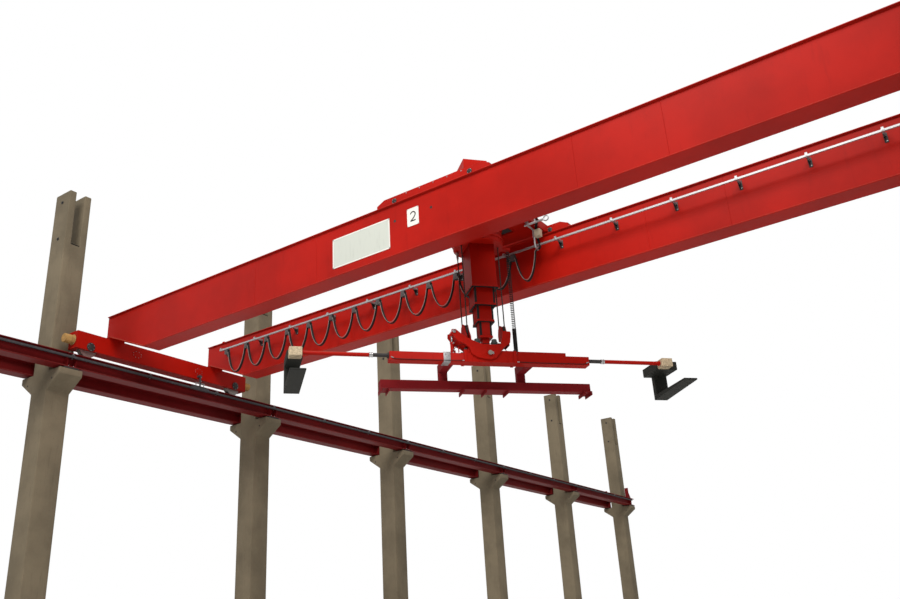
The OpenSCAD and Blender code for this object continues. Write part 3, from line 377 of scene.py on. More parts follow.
def machine_paint(name, base, worn=(0.10, 0.09, 0.08), gloss=0.42, bare=0.5):
    """Machine paint with scratches, grease and worn places."""
    paint = Finish(name, roughness=gloss, specular=0.3)
    cloud = paint.noise(0.35, 6.0, 0.62)
    scratch = paint.noise(0.02, 8.0, 0.75, stretch=(1, 1, 6))
    tone = paint.blend(shade(base, 0.75), shade(base, 1.25), cloud.band(0.3, 0.7))
    gone = (cloud * 0.5 + scratch * 0.5).band(0.56, 0.62) * bare
    paint.colour(paint.blend(tone, worn, gone))
    paint.rough(gloss + cloud * 0.15)
    paint.metal(gone * 0.6)
    paint.relief(scratch, 0.0006)
    return paint.material


def worn_timber(name, base):
    """Pale timber with long grain, knots worn smooth and dark ends."""
    wood = Finish(name, roughness=0.7, specular=0.3)
    grain = wood.noise(0.03, 8.0, 0.6, stretch=(0.12, 1, 1), turn=(0, 0, -BEAM_TURN))
    cloud = wood.noise(0.25, 4.0, 0.6)
    tone = wood.blend(shade(base, 0.62), shade(base, 1.12), grain.band(0.3, 0.7))
    wood.colour(wood.blend(tone, shade(base, 0.45), cloud.band(0.55, 0.8) * 0.6))
    wood.rough(0.62 + grain * 0.2)
    wood.relief(grain, 0.002)
    return wood.material


def wire_rope(name):
    """Greased wire rope, its strands laid round it."""
    rope = Finish(name, roughness=0.55, metallic=0.3, specular=0.3)
    lay = rope.waves(0.035, turn=(0, 0.95, 0))
    rope.colour(rope.blend((0.014, 0.012, 0.011), (0.065, 0.058, 0.052), lay))
    rope.relief(lay, 0.003)
    return rope.material


def enamel(name, base):
    """Flat enamel with faint streaks of dirt."""
    plate = Finish(name, roughness=0.35, specular=0.5, coat=0.2)
    streak = plate.noise(0.2, 5.0, 0.6, stretch=(4, 4, 0.6))
    plate.colour(plate.blend(base, shade(base, 0.80), streak.band(0.5, 0.8) * 0.5))
    plate.rough(0.32 + streak * 0.15)
    return plate.material


def cellular_foam(name, base):
    """Cellular rubber of a buffer, with fine pores."""
    foam = Finish(name, roughness=0.85, specular=0.25)
    pores = foam.cells(0.012)
    cloud = foam.noise(0.2, 5.0, 0.6)
    foam.colour(foam.blend(shade(base, 0.7), shade(base, 1.2), cloud.band(0.3, 0.7)))
    foam.rough(0.78 + pores * 0.15)
    foam.relief(pores, 0.002)
    return foam.material


FINISHES = {
    "concrete": cast_concrete("cast_concrete"),
    "bearing_black": machine_paint("bearing_black", (0.035, 0.03, 0.03), gloss=0.6),
    "runway_red": crane_paint("runway_crimson", (0.15, 0.0075, 0.0085), (0.27, 0.165, 0.13), 0.4, 0.5),
    "rail_steel": bare_metal("worn_rail_steel", (0.40, 0.38, 0.36)),
    "line_grey": rubber_skin("line_grey", (0.05, 0.05, 0.055)),
    "crane_red": crane_paint("crane_red", (0.39, 0.0075, 0.0030)),
    "buffer_ochre": cellular_foam("buffer_ochre", (0.42, 0.24, 0.08)),
    "zinc": zinc_coat("zinc_coat"),
    "cable_black": rubber_skin("cable_black"),
    "sign_white": enamel("sign_enamel", (0.80, 0.79, 0.74)),
    "panel_grey": enamel("panel_grey", (0.58, 0.61, 0.55)),
    "box_beige": enamel("box_beige", (0.52, 0.46, 0.33)),
    "drum_steel": bare_metal("drum_iron", (0.22, 0.22, 0.22), gloss=0.45, rusty=0.15),
    "motor_green": machine_paint("motor_green", (0.08, 0.13, 0.11)),
    "rope_wire": wire_rope("rope_wire"),
    # Light grey of the thin cord that paints a highlight along the festoon cables
    "signal_grey": rubber_skin("signal_grey", (0.30, 0.27, 0.25), gloss=0.45),
    "chrome": bare_metal("chromed_rod", (0.62, 0.62, 0.63), gloss=0.16, rusty=0.0, metallic=1.0),
    "hanger_steel": bare_metal("hanger_steel", (0.10, 0.09, 0.09), gloss=0.5, rusty=0.2, metallic=0.4),
    "sheave_iron": machine_paint("sheave_iron", (0.03, 0.028, 0.028), gloss=0.4),
    "pin_steel": bare_metal("pin_iron", (0.40, 0.37, 0.33), gloss=0.38, rusty=0.1),
    "frame_crimson": crane_paint("frame_crimson", (0.19, 0.009, 0.012), (0.30, 0.15, 0.11), 0.42, 0.6),
    "hydraulic_green": machine_paint("hydraulic_green", (0.06, 0.075, 0.07)),
    "block_cream": worn_timber("block_timber", (0.62, 0.50, 0.33)),
    "fork_green": machine_paint("fork_green", (0.013, 0.014, 0.011), gloss=0.55),
}


# Shapes
SHARP_ANGLE = 28
SMOOTH_ANGLE = 32
ROUND_ANGLE = 60


def arc(steps, first, last, wide, high=None, centre=(0, 0)):
    """Points on a circle or ellipse from one angle in degrees to another, both ends with them."""
    high = wide if high is None else high
    angles = [math.radians(first + (last - first) * k / steps) for k in range(steps + 1)]
    return [(centre[0] + wide * math.cos(a), centre[1] + high * math.sin(a)) for a in angles]


def circle(count, wide, high=None, centre=(0, 0), first=0):
    """Points spaced evenly all the way round."""
    return arc(count, first, first + 360, wide, high, centre)[:-1]


def spline(knots, steps=6):
    """A smooth path through the knots."""
    pts = [Vector(k) for k in knots]
    pts = [2 * pts[0] - pts[1]] + pts + [2 * pts[-1] - pts[-2]]
    path = []
    for a, b, c, d in zip(pts, pts[1:], pts[2:], pts[3:]):
        for k in range(steps):
            t = k / steps
            path.append(0.5 * (2 * b + (c - a) * t + (2 * a - 5 * b + 4 * c - d) * t * t
                               + (3 * b - a - 3 * c + d) * t * t * t))
    return [tuple(p) for p in path + [pts[-2]]]


def path_length(path):
    return sum((Vector(b) - Vector(a)).length for a, b in zip(path, path[1:]))


def add_mesh(name, bm, finish, angle=SMOOTH_ANGLE):
    """A new object from a bmesh, smooth where it bends less than this angle."""
    mesh = bpy.data.meshes.new(name)
    bm.to_mesh(mesh)
    bm.free()
    mesh.shade_smooth()
    mesh.set_sharp_from_angle(angle=math.radians(angle))
    mesh.materials.append(FINISHES[finish])
    obj = bpy.data.objects.new(name, mesh)
    scene.collection.objects.link(obj)
    return obj


class Piece:
    """The solids of one piece, gathered in one mesh in its own frame."""

    def __init__(self, name, place=WORLD):
        self.name = name
        self.place = place
        self.bm = bmesh.new()

    def hull_of(self, rings):
        """Joins rings of points, each ring to the next, and closes both ends."""
        rows = [[self.bm.verts.new(p) for p in ring] for ring in rings]
        count = len(rows[0])
        for a, b in zip(rows, rows[1:]):
            for k in range(count):
                n = (k + 1) % count
                self.bm.faces.new((a[k], a[n], b[n], b[k]))
        self.bm.faces.new(rows[0][::-1])
        self.bm.faces.new(rows[-1])

    @contextmanager
    def turned(self, turn):
        """Turns what is added inside it by this matrix."""
        first = len(self.bm.verts)
        yield
        self.bm.verts.ensure_lookup_table()
        for v in self.bm.verts[first:]:
            v.co = turn @ v.co

    def block(self, corner, opposite):
        """A block between two opposite corners, given in any order."""
        (x0, x1), (y0, y1), (z0, z1) = (sorted(pair) for pair in zip(corner, opposite))
        self.hull_of([[(x0, y0, z), (x1, y0, z), (x1, y1, z), (x0, y1, z)] for z in (z0, z1)])

    def slab(self, outline, start, end, axis="z"):
        """An outline drawn out along an axis: (a, b) lies on (x, y), (y, z) or (x, z)."""
        turned = {"z": lambda a, b, c: (a, b, c), "x": lambda a, b, c: (c, a, b),
                  "y": lambda a, b, c: (a, c, b)}[axis]
        self.hull_of([[turned(a, b, c) for a, b in outline] for c in sorted((start, end))])

    def lathe(self, profile, centre, axis, sides=32):
        """A profile of (radius, along) points turned about an axis through centre."""
        axis = Vector(axis).normalized()
        side = axis.orthogonal().normalized()
        other = axis.cross(side)
        centre = Vector(centre)
        rings = []
        for radius, along in profile:
            rings.append([centre + axis * along + a * side + b * other for a, b in circle(sides, radius)])
        self.hull_of(rings)

    def rod(self, start, end, radius, sides=20):
        way = Vector(end) - Vector(start)
        self.lathe([(radius, 0), (radius, way.length)], start, way, sides)

    def bolts(self, feet, axis, across):
        for foot in feet:
            self.bolt(foot, axis, across)

    def bolt(self, foot, axis, across):
        """A hexagon head on its washer."""
        height = across * 0.65
        self.lathe([(across * 0.85, 0), (across * 0.85, across * 0.12)], foot, axis, 14)
        foot = Vector(foot) + Vector(axis).normalized() * across * 0.12
        self.lathe([(across * 0.56, 0), (across * 0.56, height * 0.85), (across * 0.44, height)], foot,
                   axis, 6)

    def tube(self, path, radius, sides=10):
        """A round tube along a path, its rings kept from twisting."""
        points = [Vector(p) for p in path]
        rings = []
        last = None
        for i, p in enumerate(points):
            along = (points[min(i + 1, len(points) - 1)] - points[max(i - 1, 0)]).normalized()
            if last is None:
                side = along.cross(Vector(UP))
                if side.length < 0.05:
                    side = along.cross(Vector((0, 1, 0)))
            else:
                side = last - along * last.dot(along)
            side.normalize()
            last = side
            other = along.cross(side).normalized()
            rings.append([p + a * side + b * other for a, b in circle(sides, radius)])
        self.hull_of(rings)

    def make(self, finish, body, slot=None, bevel=0.0, replaces=(), segments=2, angle=SMOOTH_ANGLE,
             blend=None):
        """The finished object on its body, or, when blend is given, baked in place and attached to no body.
        """
        bmesh.ops.recalc_face_normals(self.bm, faces=self.bm.faces)
        if bevel:
            round_edges(self.bm, bevel, segments)
        self.bm.transform(self.place)
        obj = add_mesh(self.name, self.bm, finish, angle)
        if blend:
            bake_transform(obj)
        else:
            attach(obj, body)
        if replaces:
            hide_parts(*replaces)
        return obj


def round_edges(bm, width, segments=2):
    edges = [e for e in bm.edges if len(e.link_faces) == 2
             and e.calc_face_angle(0.0) > math.radians(SHARP_ANGLE)]
    if edges:
        bmesh.ops.bevel(bm, geom=edges, offset=width, segments=segments, profile=0.6, affect="EDGES",
                        clamp_overlap=True)


def inner_shells(bm):
    """The faces of closed hollows, which nothing sees."""
    seen, hidden = set(), []
    for start in bm.faces:
        if start in seen:
            continue
        shell, stack = [], [start]
        seen.add(start)
        while stack:
            face = stack.pop()
            shell.append(face)
            for edge in face.edges:
                for other in edge.link_faces:
                    if other not in seen:
                        seen.add(other)
                        stack.append(other)
        volume = 0.0
        for face in shell:
            corners = [v.co for v in face.verts]
            for k in range(1, len(corners) - 1):
                volume += corners[0].dot(corners[k].cross(corners[k + 1]))
        if volume < 0:
            hidden += shell
    return hidden


BODY_OF = {node: body for body, nodes in BEHAVIOUR["bodies"].items() for node in nodes}
SLOT_OF = {s["node"]: s["material_slot"] for s in frame["record"]["subparts"]}


def round_node(node, width, segments):
    """Puts the node's own shape in its place with the sharp edges broken, as rolled and cast pieces have."""
    bm = bmesh.new()
    bm.from_mesh(frame["nodes"][node].data)
    bmesh.ops.remove_doubles(bm, verts=bm.verts, dist=1e-5)
    bmesh.ops.delete(bm, geom=inner_shells(bm), context="FACES")
    bmesh.ops.dissolve_limit(bm, angle_limit=math.radians(0.6), verts=bm.verts, edges=bm.edges)
    round_edges(bm, width, segments)
    obj = add_mesh(node + "_finished", bm, SLOT_OF[node])
    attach(obj, BODY_OF[node])
    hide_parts(node)


def lay_cord(name, path, radius, body, stiffness, lay, sides=10, finish="cable_black", place=WORLD,
             **how):
    """A cable or hose along a path in a place's frame."""
    piece = Piece(name, place)
    piece.tube(path, radius, sides)
    cable = piece.make(finish, body, "cable_black", angle=ROUND_ANGLE, **how)
    if place is not WORLD:
        path = [place @ Vector(p) for p in path]
    path = [tuple(p) for p in path]
    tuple(path[0])
    path_length(path)
    2 * radius


EDGE_NODES = {
    0.022: "columns_left columns_right",
    0.010: "mast_tube buffers",
    0.008: "trolley_side_frames mast_stage_two mast_stage_three mast_inner_tube fork_beam lower_frame "
           "left_arm_block right_arm_block",
    0.006: "left_end_carriage right_end_carriage left_fork right_fork",
    0.005: "front_girder rear_girder",
    0.004: "inner_runway_left inner_runway_right outer_runway_left outer_runway_right yoke",
    0.003: "sheave_blocks"}
EDGE = {node: width for width, nodes in EDGE_NODES.items() for node in nodes.split()}


def finish_nodes():
    """Every node with its own finish, and most of the large ones with their edges rounded."""
    for node, plain in frame["nodes"].items():
        if node in EDGE:
            round_node(node, EDGE[node], 2 if node.startswith("columns") else 1)
        else:
            plain.data.materials.clear()
            plain.data.materials.append(FINISHES[SLOT_OF[node]])


aim_camera()
lay_floor()
light_sky()
hang_lamps()
scene.view_settings.view_transform = "Standard"
finish_nodes()


# Cables and ropes
FESTOON_Y = -8.49
FESTOON_START = JOINTS["trolley_travel"]["deforming_nodes"][0]["fixed_end_x_m"]
FESTOON_END = 0.77
FESTOON_TOP = 8.815
FESTOON_PITCH = 0.68
FESTOON_LOOPS = 13
LOOP_LEAN = 8
LOOP_STEPS = 30
SADDLE_R = 0.054
SADDLE_Z = 8.752
POWER_R = 0.009
POWER_DIP = 0.590
# Size, dip and offset of the thin light cord that paints a highlight along the top side of the festoon cables
HIGHLIGHT_CORD_R = 0.0045
HIGHLIGHT_CORD_DIP = 0.568
HIGHLIGHT_CORD_DY = -0.038
ABREAST = (("a", 0.0), ("b", 0.021), ("c", -0.021))
COIL_S = 0.58
COIL_R = 0.030
COIL_WIRE_R = 0.0075
COIL_TURNS = 44
COIL_TOP, COIL_FOOT = 8.668, 7.085
ROPE_S = 0.355
ROPE_R = 0.011
ROPE_BACK, ROPE_FRONT = 0.19, -0.11
SHEAVE_Z = 7.0
FESTOON_SPAN = ("bridge", "trolley", (FESTOON_START, FESTOON_Y, FESTOON_TOP),
                (FESTOON_END, FESTOON_Y, FESTOON_TOP))
MAST_SPAN = ("mast", "load_beam", tuple(MAST @ Vector((0, 0, SLEW_Z))), tuple(MAST @ Vector((0, 0, 7.1))))


def festoon_path(dip, radius, y):
    """Loops hanging from saddle to saddle, laid over each of them in a half round."""
    bend = SADDLE_R + radius
    lean = math.radians(LOOP_LEAN)
    foot = SADDLE_Z + bend * math.sin(lean)
    depth = dip - bend * (1 - math.sin(lean))
    path = []
    for k in range(FESTOON_LOOPS + 1):
        x = min(FESTOON_END, FESTOON_START + k * FESTOON_PITCH)
        first = 90 if k == 0 else 180 - LOOP_LEAN
        last = 90 if k == FESTOON_LOOPS else LOOP_LEAN
        path += [(a, y, b) for a, b in arc(8, first, last, bend, centre=(x, SADDLE_Z))]
        if k < FESTOON_LOOPS:
            middle = (x + min(FESTOON_END, x + FESTOON_PITCH)) / 2
            half = middle - x - bend * math.cos(lean)
            slant = depth * math.pi / 2 * math.tan(lean) / half
            for j in range(1, LOOP_STEPS):
                u = 2.0 * j / LOOP_STEPS - 1.0
                wide = (1 - slant) * math.sin(u * math.pi / 2) + slant * u
                path.append((middle + half * wide, y, foot - depth * math.cos(u * math.pi / 2)))
    return path


def hang_festoon():
    """Three power cables side by side, and a thin light-grey cord beside them that is a painted highlight
    along the cables' top side.
    """
    for letter, dy in ABREAST:
        path = festoon_path(POWER_DIP, POWER_R, FESTOON_Y + dy)
        lay_cord("festoon_power_cable_" + letter, path, POWER_R, "bridge", "medium", "hanging", 12,
                 replaces=("festoon_cable",), blend=FESTOON_SPAN)
    # Painted highlight: the thin light-grey cord stands in for the sheen along the top side of the power
    # cables
    path = festoon_path(HIGHLIGHT_CORD_DIP, HIGHLIGHT_CORD_R, FESTOON_Y + HIGHLIGHT_CORD_DY)
    lay_cord("festoon_signal_cable", path, HIGHLIGHT_CORD_R, "bridge", "medium", "hanging", 12,
             "signal_grey", blend=FESTOON_SPAN)


def hang_saddles():
    """The rollers, side plates and saddles that carry the cables."""
    cars = Piece("festoon_hangers")
    plate_top, plate_foot = FESTOON_TOP + 0.044, SADDLE_Z - 0.018
    for k in range(FESTOON_LOOPS):
        x = FESTOON_START + k * FESTOON_PITCH
        for dx in (-0.024, 0.024):
            roller = (x + dx, FESTOON_Y, FESTOON_TOP + 0.056)
            cars.lathe([(0.016, -0.014), (0.016, 0.014)], roller, (0, 1, 0), 14)
        cars.block((x - 0.045, FESTOON_Y - 0.048, plate_top - 0.008),
                   (x + 0.045, FESTOON_Y + 0.034, plate_top))
        side = [(x - 0.045, plate_top), (x + 0.045, plate_top), (x + 0.056, SADDLE_Z - 0.002),
                (x + 0.044, plate_foot), (x - 0.044, plate_foot), (x - 0.056, SADDLE_Z - 0.002)]
        for y in (FESTOON_Y - 0.053, FESTOON_Y + 0.030):
            cars.slab(side, y, y + 0.005, "y")
        cars.slab(arc(18, 0, 180, SADDLE_R, centre=(x, SADDLE_Z)), FESTOON_Y - 0.050, FESTOON_Y + 0.032, "y")
        cars.bolt((x, FESTOON_Y - 0.053, SADDLE_Z + 0.02), (0, -1, 0), 0.014)
    cars.make("hanger_steel", "bridge", "zinc", replaces=("cable_hangers",), blend=FESTOON_SPAN)


def wind_spiral():
    """The slim cable wound in a coil, hanging from the slewing plate to the tube on the beam."""
    path = [MAST @ Vector((a, b, COIL_TOP + (COIL_FOOT - COIL_TOP) * k / (COIL_TURNS * 16)))
            for k, (a, b) in enumerate(arc(COIL_TURNS * 16, 0, COIL_TURNS * 360, COIL_R, centre=(COIL_S, 0)))]
    lay_cord("spiral_control_cable", path, COIL_WIRE_R, "mast", "stiff", "coiled", 8,
             replaces=("spiral_cable",), blend=MAST_SPAN)


def reeve_ropes():
    """Two falls on each side, one piece of rope round each sheave, with its wedge socket at the plate."""
    middle = (ROPE_BACK + ROPE_FRONT) / 2
    reach = (ROPE_BACK - ROPE_FRONT) / 2
    for side, name in SIDES:
        x = side * ROPE_S
        path = [(x, ROPE_FRONT, z) for z in (9.715, 9.2, SLEW_Z, 8.1, 7.6, 7.2)]
        path += [(x, y, z) for y, z in arc(14, 180, 360, reach, centre=(middle, SHEAVE_Z))]
        path += [(x, ROPE_BACK, z) for z in (7.2, 7.6, 8.1, SLEW_Z - 0.1, SLEW_Z - 0.005)]
        rope = Piece(name + "_hoist_rope", MAST)
        rope.tube(path, ROPE_R, 12)
        rope.make("rope_wire", "mast", replaces=("hoist_ropes",), blend=MAST_SPAN, angle=ROUND_ANGLE)
        socket = Piece(name + "_rope_socket", MAST)
        socket.lathe([(0.014, 0), (0.020, 0.03), (0.030, 0.13), (0.030, 0.16)],
                     (x, ROPE_BACK, SLEW_Z - 0.165), UP, 16)
        socket.lathe([(0.012, -0.045), (0.012, 0.045)], (x, ROPE_BACK, SLEW_Z - 0.045), (0, 1, 0), 12)
        socket.make("pin_steel", "mast", bevel=0.002)


hang_festoon()
hang_saddles()
wind_spiral()
reeve_ropes()


# Mast
TUBES = (("mast_tube", 0.48), ("mast_stage_two", 0.38), ("mast_stage_three", 0.30), ("mast_inner_tube", 0.22))
COLLAR_HIGH = 0.04
STRIP_LEG = 0.034
STRIP_OUT = 0.0015


def line_stages():
    """Dark strips along the corners of each inner tube."""
    corner = [(STRIP_OUT, STRIP_OUT), (STRIP_OUT, -STRIP_LEG), (0, -STRIP_LEG), (0, 0), (-STRIP_LEG, 0),
              (-STRIP_LEG, STRIP_OUT)]
    for node, size in TUBES[1:]:
        (_, _, low), (_, _, high) = box_of(node)
        if node != "mast_inner_tube":
            low += COLLAR_HIGH
        strips = Piece(node + "_guide_strips", MAST)
        for sx in (-1, 1):
            for sy in (-1, 1):
                outline = [(sx * (size / 2 + a), sy * (size / 2 + b)) for a, b in corner]
                strips.slab(outline, low + 0.005, high - 0.05)
        strips.make("cable_black", BODY_OF[node], bevel=0.0012, segments=1)


def ring_collars():
    """Screws and a wiper ring round the foot of each outer tube."""
    for node, size in TUBES[:3]:
        z = box_of(node)[0][2]
        lip = size / 2 + 0.010
        screws = Piece(node + "_collar_screws", MAST)
        wiper = Piece(node + "_wiper_ring", MAST)
        for side in range(4):
            turn = Matrix.Rotation(side * math.pi / 2, 4, "Z")
            feet = [turn @ Vector((size * part, -lip, z + 0.02)) for part in (-0.36, -0.12, 0.12, 0.36)]
            screws.bolts(feet, turn @ Vector((0, -1, 0)), 0.014)
            with wiper.turned(turn):
                wiper.block((-lip, -lip - 0.004, z - 0.012), (lip, -lip + 0.03, z - 0.0005))
        screws.make("crane_red", BODY_OF[node])
        wiper.make("cable_black", BODY_OF[node])


line_stages()
ring_collars()


# Yoke, beam and arms
HEAD_BODY = "load_beam"
PIN_S, PIN_Z = -0.06, 6.54
BEAM_SIDE, BEAM_FOOT, BEAM_TOP = 0.10, 6.38, 6.54
SLEEVE_START, SLEEVE_END, SLEEVE_WALL = -0.90, -0.775, 0.012
POST_SPOTS = (-0.50, 0.425)
RIB_SPOTS = (-0.38, -0.26, 0.28, 0.37)
LUG_SPOTS = (-0.62, -0.44)
PIN_CAP = ((0.041, 0), (0.041, 0.010), (0.037, 0.016), (0.018, 0.016), (0.018, 0.022), (0.014, 0.026))
RIB = ((-0.128, 6.39), (-0.116, 6.39), (-0.116, 6.56), (-0.128, 6.52))
LUG = ((0.10, 6.545), (0.134, 6.545), (0.134, 6.60), (0.10, 6.66))
CYLINDER = ((0.030, 0), (0.041, 0.008), (0.041, 0.030), (0.036, 0.034), (0.036, 0.158), (0.042, 0.163),
            (0.042, 0.186), (0.030, 0.192), (0.022, 0.196))
VALVE = ((0.052, 0), (0.060, 0.006), (0.060, 0.100), (0.048, 0.108), (0.048, 0.142), (0.040, 0.150))
SLIDE_ROD = ((0.030, 0), (0.035, 0.01), (0.035, 1.74), (0.035, 1.80))
ARM_TUBE = ((0.030, 0), (0.036, 0.004), (0.036, 1.150), (0.036, 1.152))
ARM_COLLAR = ((0.036, 0), (0.046, 0.003), (0.046, 0.022), (0.036, 0.025))
KNUCKLE = ((0.036, 0), (0.044, 0.006), (0.044, 0.022), (0.037, 0.030), (0.037, 0.045), (0.046, 0.050),
           (0.046, 0.066), (0.036, 0.072))
YOKE_FACE = 0.1603
CYLINDER_S = -0.70
CYLINDER_FOOT, CYLINDER_EYE = 6.55, 6.925
VALVES = (-0.235, 0.09)
VALVE_Z = PIN_Z + 0.16
ARM_Z = 6.49
HOSE_R = 0.005
LINE_R = 0.006
HOSES = (
    ("cylinder_hose_low", (
        (-0.70, -0.062, 6.605), (-0.698, -0.092, 6.610), (-0.678, -0.112, 6.632), (-0.64, -0.114, 6.668),
        (-0.58, -0.106, 6.69), (-0.50, -0.09, 6.70), (-0.42, -0.075, 6.715), (-0.33, -0.062, 6.735),
        (-0.276, -0.05, 6.738))),
    ("cylinder_hose_high", (
        (-0.70, -0.062, 6.725), (-0.699, -0.085, 6.728), (-0.684, -0.104, 6.746), (-0.652, -0.109, 6.774),
        (-0.59, -0.103, 6.788), (-0.50, -0.08, 6.775), (-0.40, -0.05, 6.765), (-0.32, -0.035, 6.79),
        (-0.27, -0.03, 6.80))),
    ("bridge_hose", (
        (-0.195, -0.03, 6.728), (-0.16, -0.10, 6.725), (-0.10, -0.155, 6.715), (0.0, -0.165, 6.712),
        (0.05, -0.155, 6.715), (0.085, -0.10, 6.722), (0.09, -0.052, 6.726))),
    ("beam_feed_hose", (
        (0.13, 0.02, 6.725), (0.20, 0.02, 6.73), (0.27, 0.025, 6.70), (0.33, 0.03, 6.65),
        (0.40, 0.035, 6.625), (0.47, 0.04, 6.615), (0.52, 0.0706, 6.612))),
    ("arm_line_right", (
        (0.46, -0.108, 6.402), (0.70, -0.109, 6.396), (1.0, -0.109, 6.394), (1.4, -0.109, 6.395),
        (1.75, -0.109, 6.40), (1.83, -0.109, 6.43))),
    ("arm_line_left", (
        (-0.52, -0.108, 6.402), (-0.70, -0.118, 6.396), (-1.0, -0.109, 6.394), (-1.4, -0.109, 6.395),
        (-1.75, -0.109, 6.40), (-1.83, -0.109, 6.43))))


def cap_pin():
    """The pin's caps and keepers on both faces of the yoke."""
    caps = Piece("pin_caps", BEAM)
    keeps = Piece("pin_keepers", BEAM)
    for side in (-1, 1):
        face = side * YOKE_FACE
        outer = face + side * 0.008
        caps.lathe(PIN_CAP, (PIN_S, face, PIN_Z), (0, side, 0), 28)
        keeps.block((PIN_S + 0.038, face, PIN_Z - 0.020), (PIN_S + 0.078, outer, PIN_Z + 0.020))
        keeps.bolt((PIN_S + 0.060, outer, PIN_Z), (0, side, 0), 0.020)
    caps.make("pin_steel", HEAD_BODY, bevel=0.002)
    keeps.make("zinc", HEAD_BODY, bevel=0.002)


def plate_beam():
    """Stop posts with dark caps, ribs and side lugs on the beam."""
    plates = Piece("hub_plates", BEAM)
    tops = Piece("stop_post_caps", BEAM)
    for s in POST_SPOTS:
        for side in (-1, 1):
            plates.block((s - 0.027, side * 0.0995, 6.372), (s + 0.027, side * 0.134, 6.600))
            tops.slab(arc(12, 0, 180, 0.029, 0.030, (s, 6.598)), side * 0.0985, side * 0.135, "y")
    tops.make("bearing_black", HEAD_BODY, bevel=0.002)
    for s in RIB_SPOTS:
        plates.slab(RIB, s - 0.005, s + 0.005, "x")
    for side in (-1, 1):
        for s in LUG_SPOTS:
            plates.slab([(side * y, z) for y, z in LUG], s - 0.006, s + 0.006, "x")
    plates.make("crane_red", HEAD_BODY, bevel=0.002)


def sleeve_beam():
    """A bright sleeve bolted round the beam, left of the yoke."""
    sleeve = Piece("beam_sleeves", BEAM)
    outside = BEAM_SIDE + SLEEVE_WALL
    for side in (-1, 1):
        sleeve.block((SLEEVE_START, side * BEAM_SIDE, BEAM_FOOT - 0.008),
                     (SLEEVE_END, side * outside, BEAM_TOP + 0.008))
        spots = (SLEEVE_START + 0.03, SLEEVE_END - 0.03)
        sleeve.bolts([(s, side * outside, z) for z in (6.41, 6.51) for s in spots], (0, side, 0), 0.016)
    for z in (BEAM_TOP, BEAM_FOOT - SLEEVE_WALL):
        sleeve.block((SLEEVE_START, -outside, z), (SLEEVE_END, outside, z + SLEEVE_WALL))
    sleeve.make("zinc", HEAD_BODY, bevel=0.002)


def dress_cylinder():
    """The levelling cylinder at the yoke's left end: a red body and a bright rod between two clevises."""
    s, foot, eye = CYLINDER_S, CYLINDER_FOOT, CYLINDER_EYE
    body = Piece("levelling_cylinder", BEAM)
    body.lathe(CYLINDER, (s, 0, foot + 0.03), UP, 24)
    for dz in (0.055, 0.175):
        body.rod((s, -0.034, foot + dz), (s, -0.062, foot + dz), 0.013, 12)
    body.make("crane_red", HEAD_BODY, bevel=0.001)
    rod = Piece("levelling_rod", BEAM)
    rod.rod((s, 0, foot + 0.20), (s, 0, eye - 0.03), 0.018)
    rod.rod((s, -0.055, foot + 0.012), (s, 0.055, foot + 0.012), 0.016, 16)
    rod.rod((s, -0.1675, eye), (s, 0.1675, eye), 0.021)
    for y in (-0.178, 0.170):
        rod.lathe([(0.034, 0), (0.034, 0.008), (0.026, 0.012)], (s, y, eye), (0, 1, 0), 20)
    rod.make("chrome", HEAD_BODY, "pin_steel", bevel=0.001)
    clevis = Piece("levelling_clevises", BEAM)
    low = [(s - 0.045, BEAM_TOP), (s + 0.045, BEAM_TOP), (s + 0.03, foot + 0.035), (s - 0.03, foot + 0.035)]
    high = [(s - 0.03, eye + 0.03), (s + 0.03, eye + 0.03), (s + 0.035, eye - 0.05), (s - 0.035, eye - 0.05)]
    for y in (-0.045, 0.027):
        clevis.slab(low, y, y + 0.018, "y")
        clevis.slab(high, y, y + 0.018, "y")
    clevis.block((s - 0.06, -0.06, BEAM_TOP - 0.004), (s + 0.06, 0.06, BEAM_TOP + 0.008))
    clevis.make("crane_red", HEAD_BODY, bevel=0.002)


def set_valves():
    """The two green valve heads on their bases."""
    valves = Piece("valve_blocks", BEAM)
    for s in VALVES:
        valves.lathe(VALVE, (s, 0, VALVE_Z), UP, 24)
        for k in range(4):
            rib = (s, 0, VALVE_Z + 0.018 + 0.022 * k)
            valves.lathe([(0.0615, 0), (0.063, 0.004), (0.0615, 0.008)], rib, UP, 24)
        valves.block((s - 0.04, -0.05, VALVE_Z), (s + 0.04, 0.05, VALVE_Z + 0.05))
    valves.make("hydraulic_green", HEAD_BODY, bevel=0.0015, replaces=("hydraulic_unit",))


def lead_hoses():
    """Short hoses on the head and taut lines along the beam, each from fitting to fitting."""
    for name, knots in HOSES:
        taut = "line" in name
        lay_cord(name, spline(knots), LINE_R if taut else HOSE_R, HEAD_BODY, "stiff",
                 "taut" if taut else "hanging", place=BEAM)
    ends = Piece("hose_fittings", BEAM)
    for _, knots in HOSES:
        for a, b in ((knots[0], knots[1]), (knots[-1], knots[-2])):
            a = Vector(a)
            way = (Vector(b) - a).normalized()
            ends.rod(a - way * 0.012, a + way * 0.022, 0.0105, 6)
            ends.rod(a + way * 0.018, a + way * 0.040, 0.0085, 12)
    ends.make("zinc", HEAD_BODY)


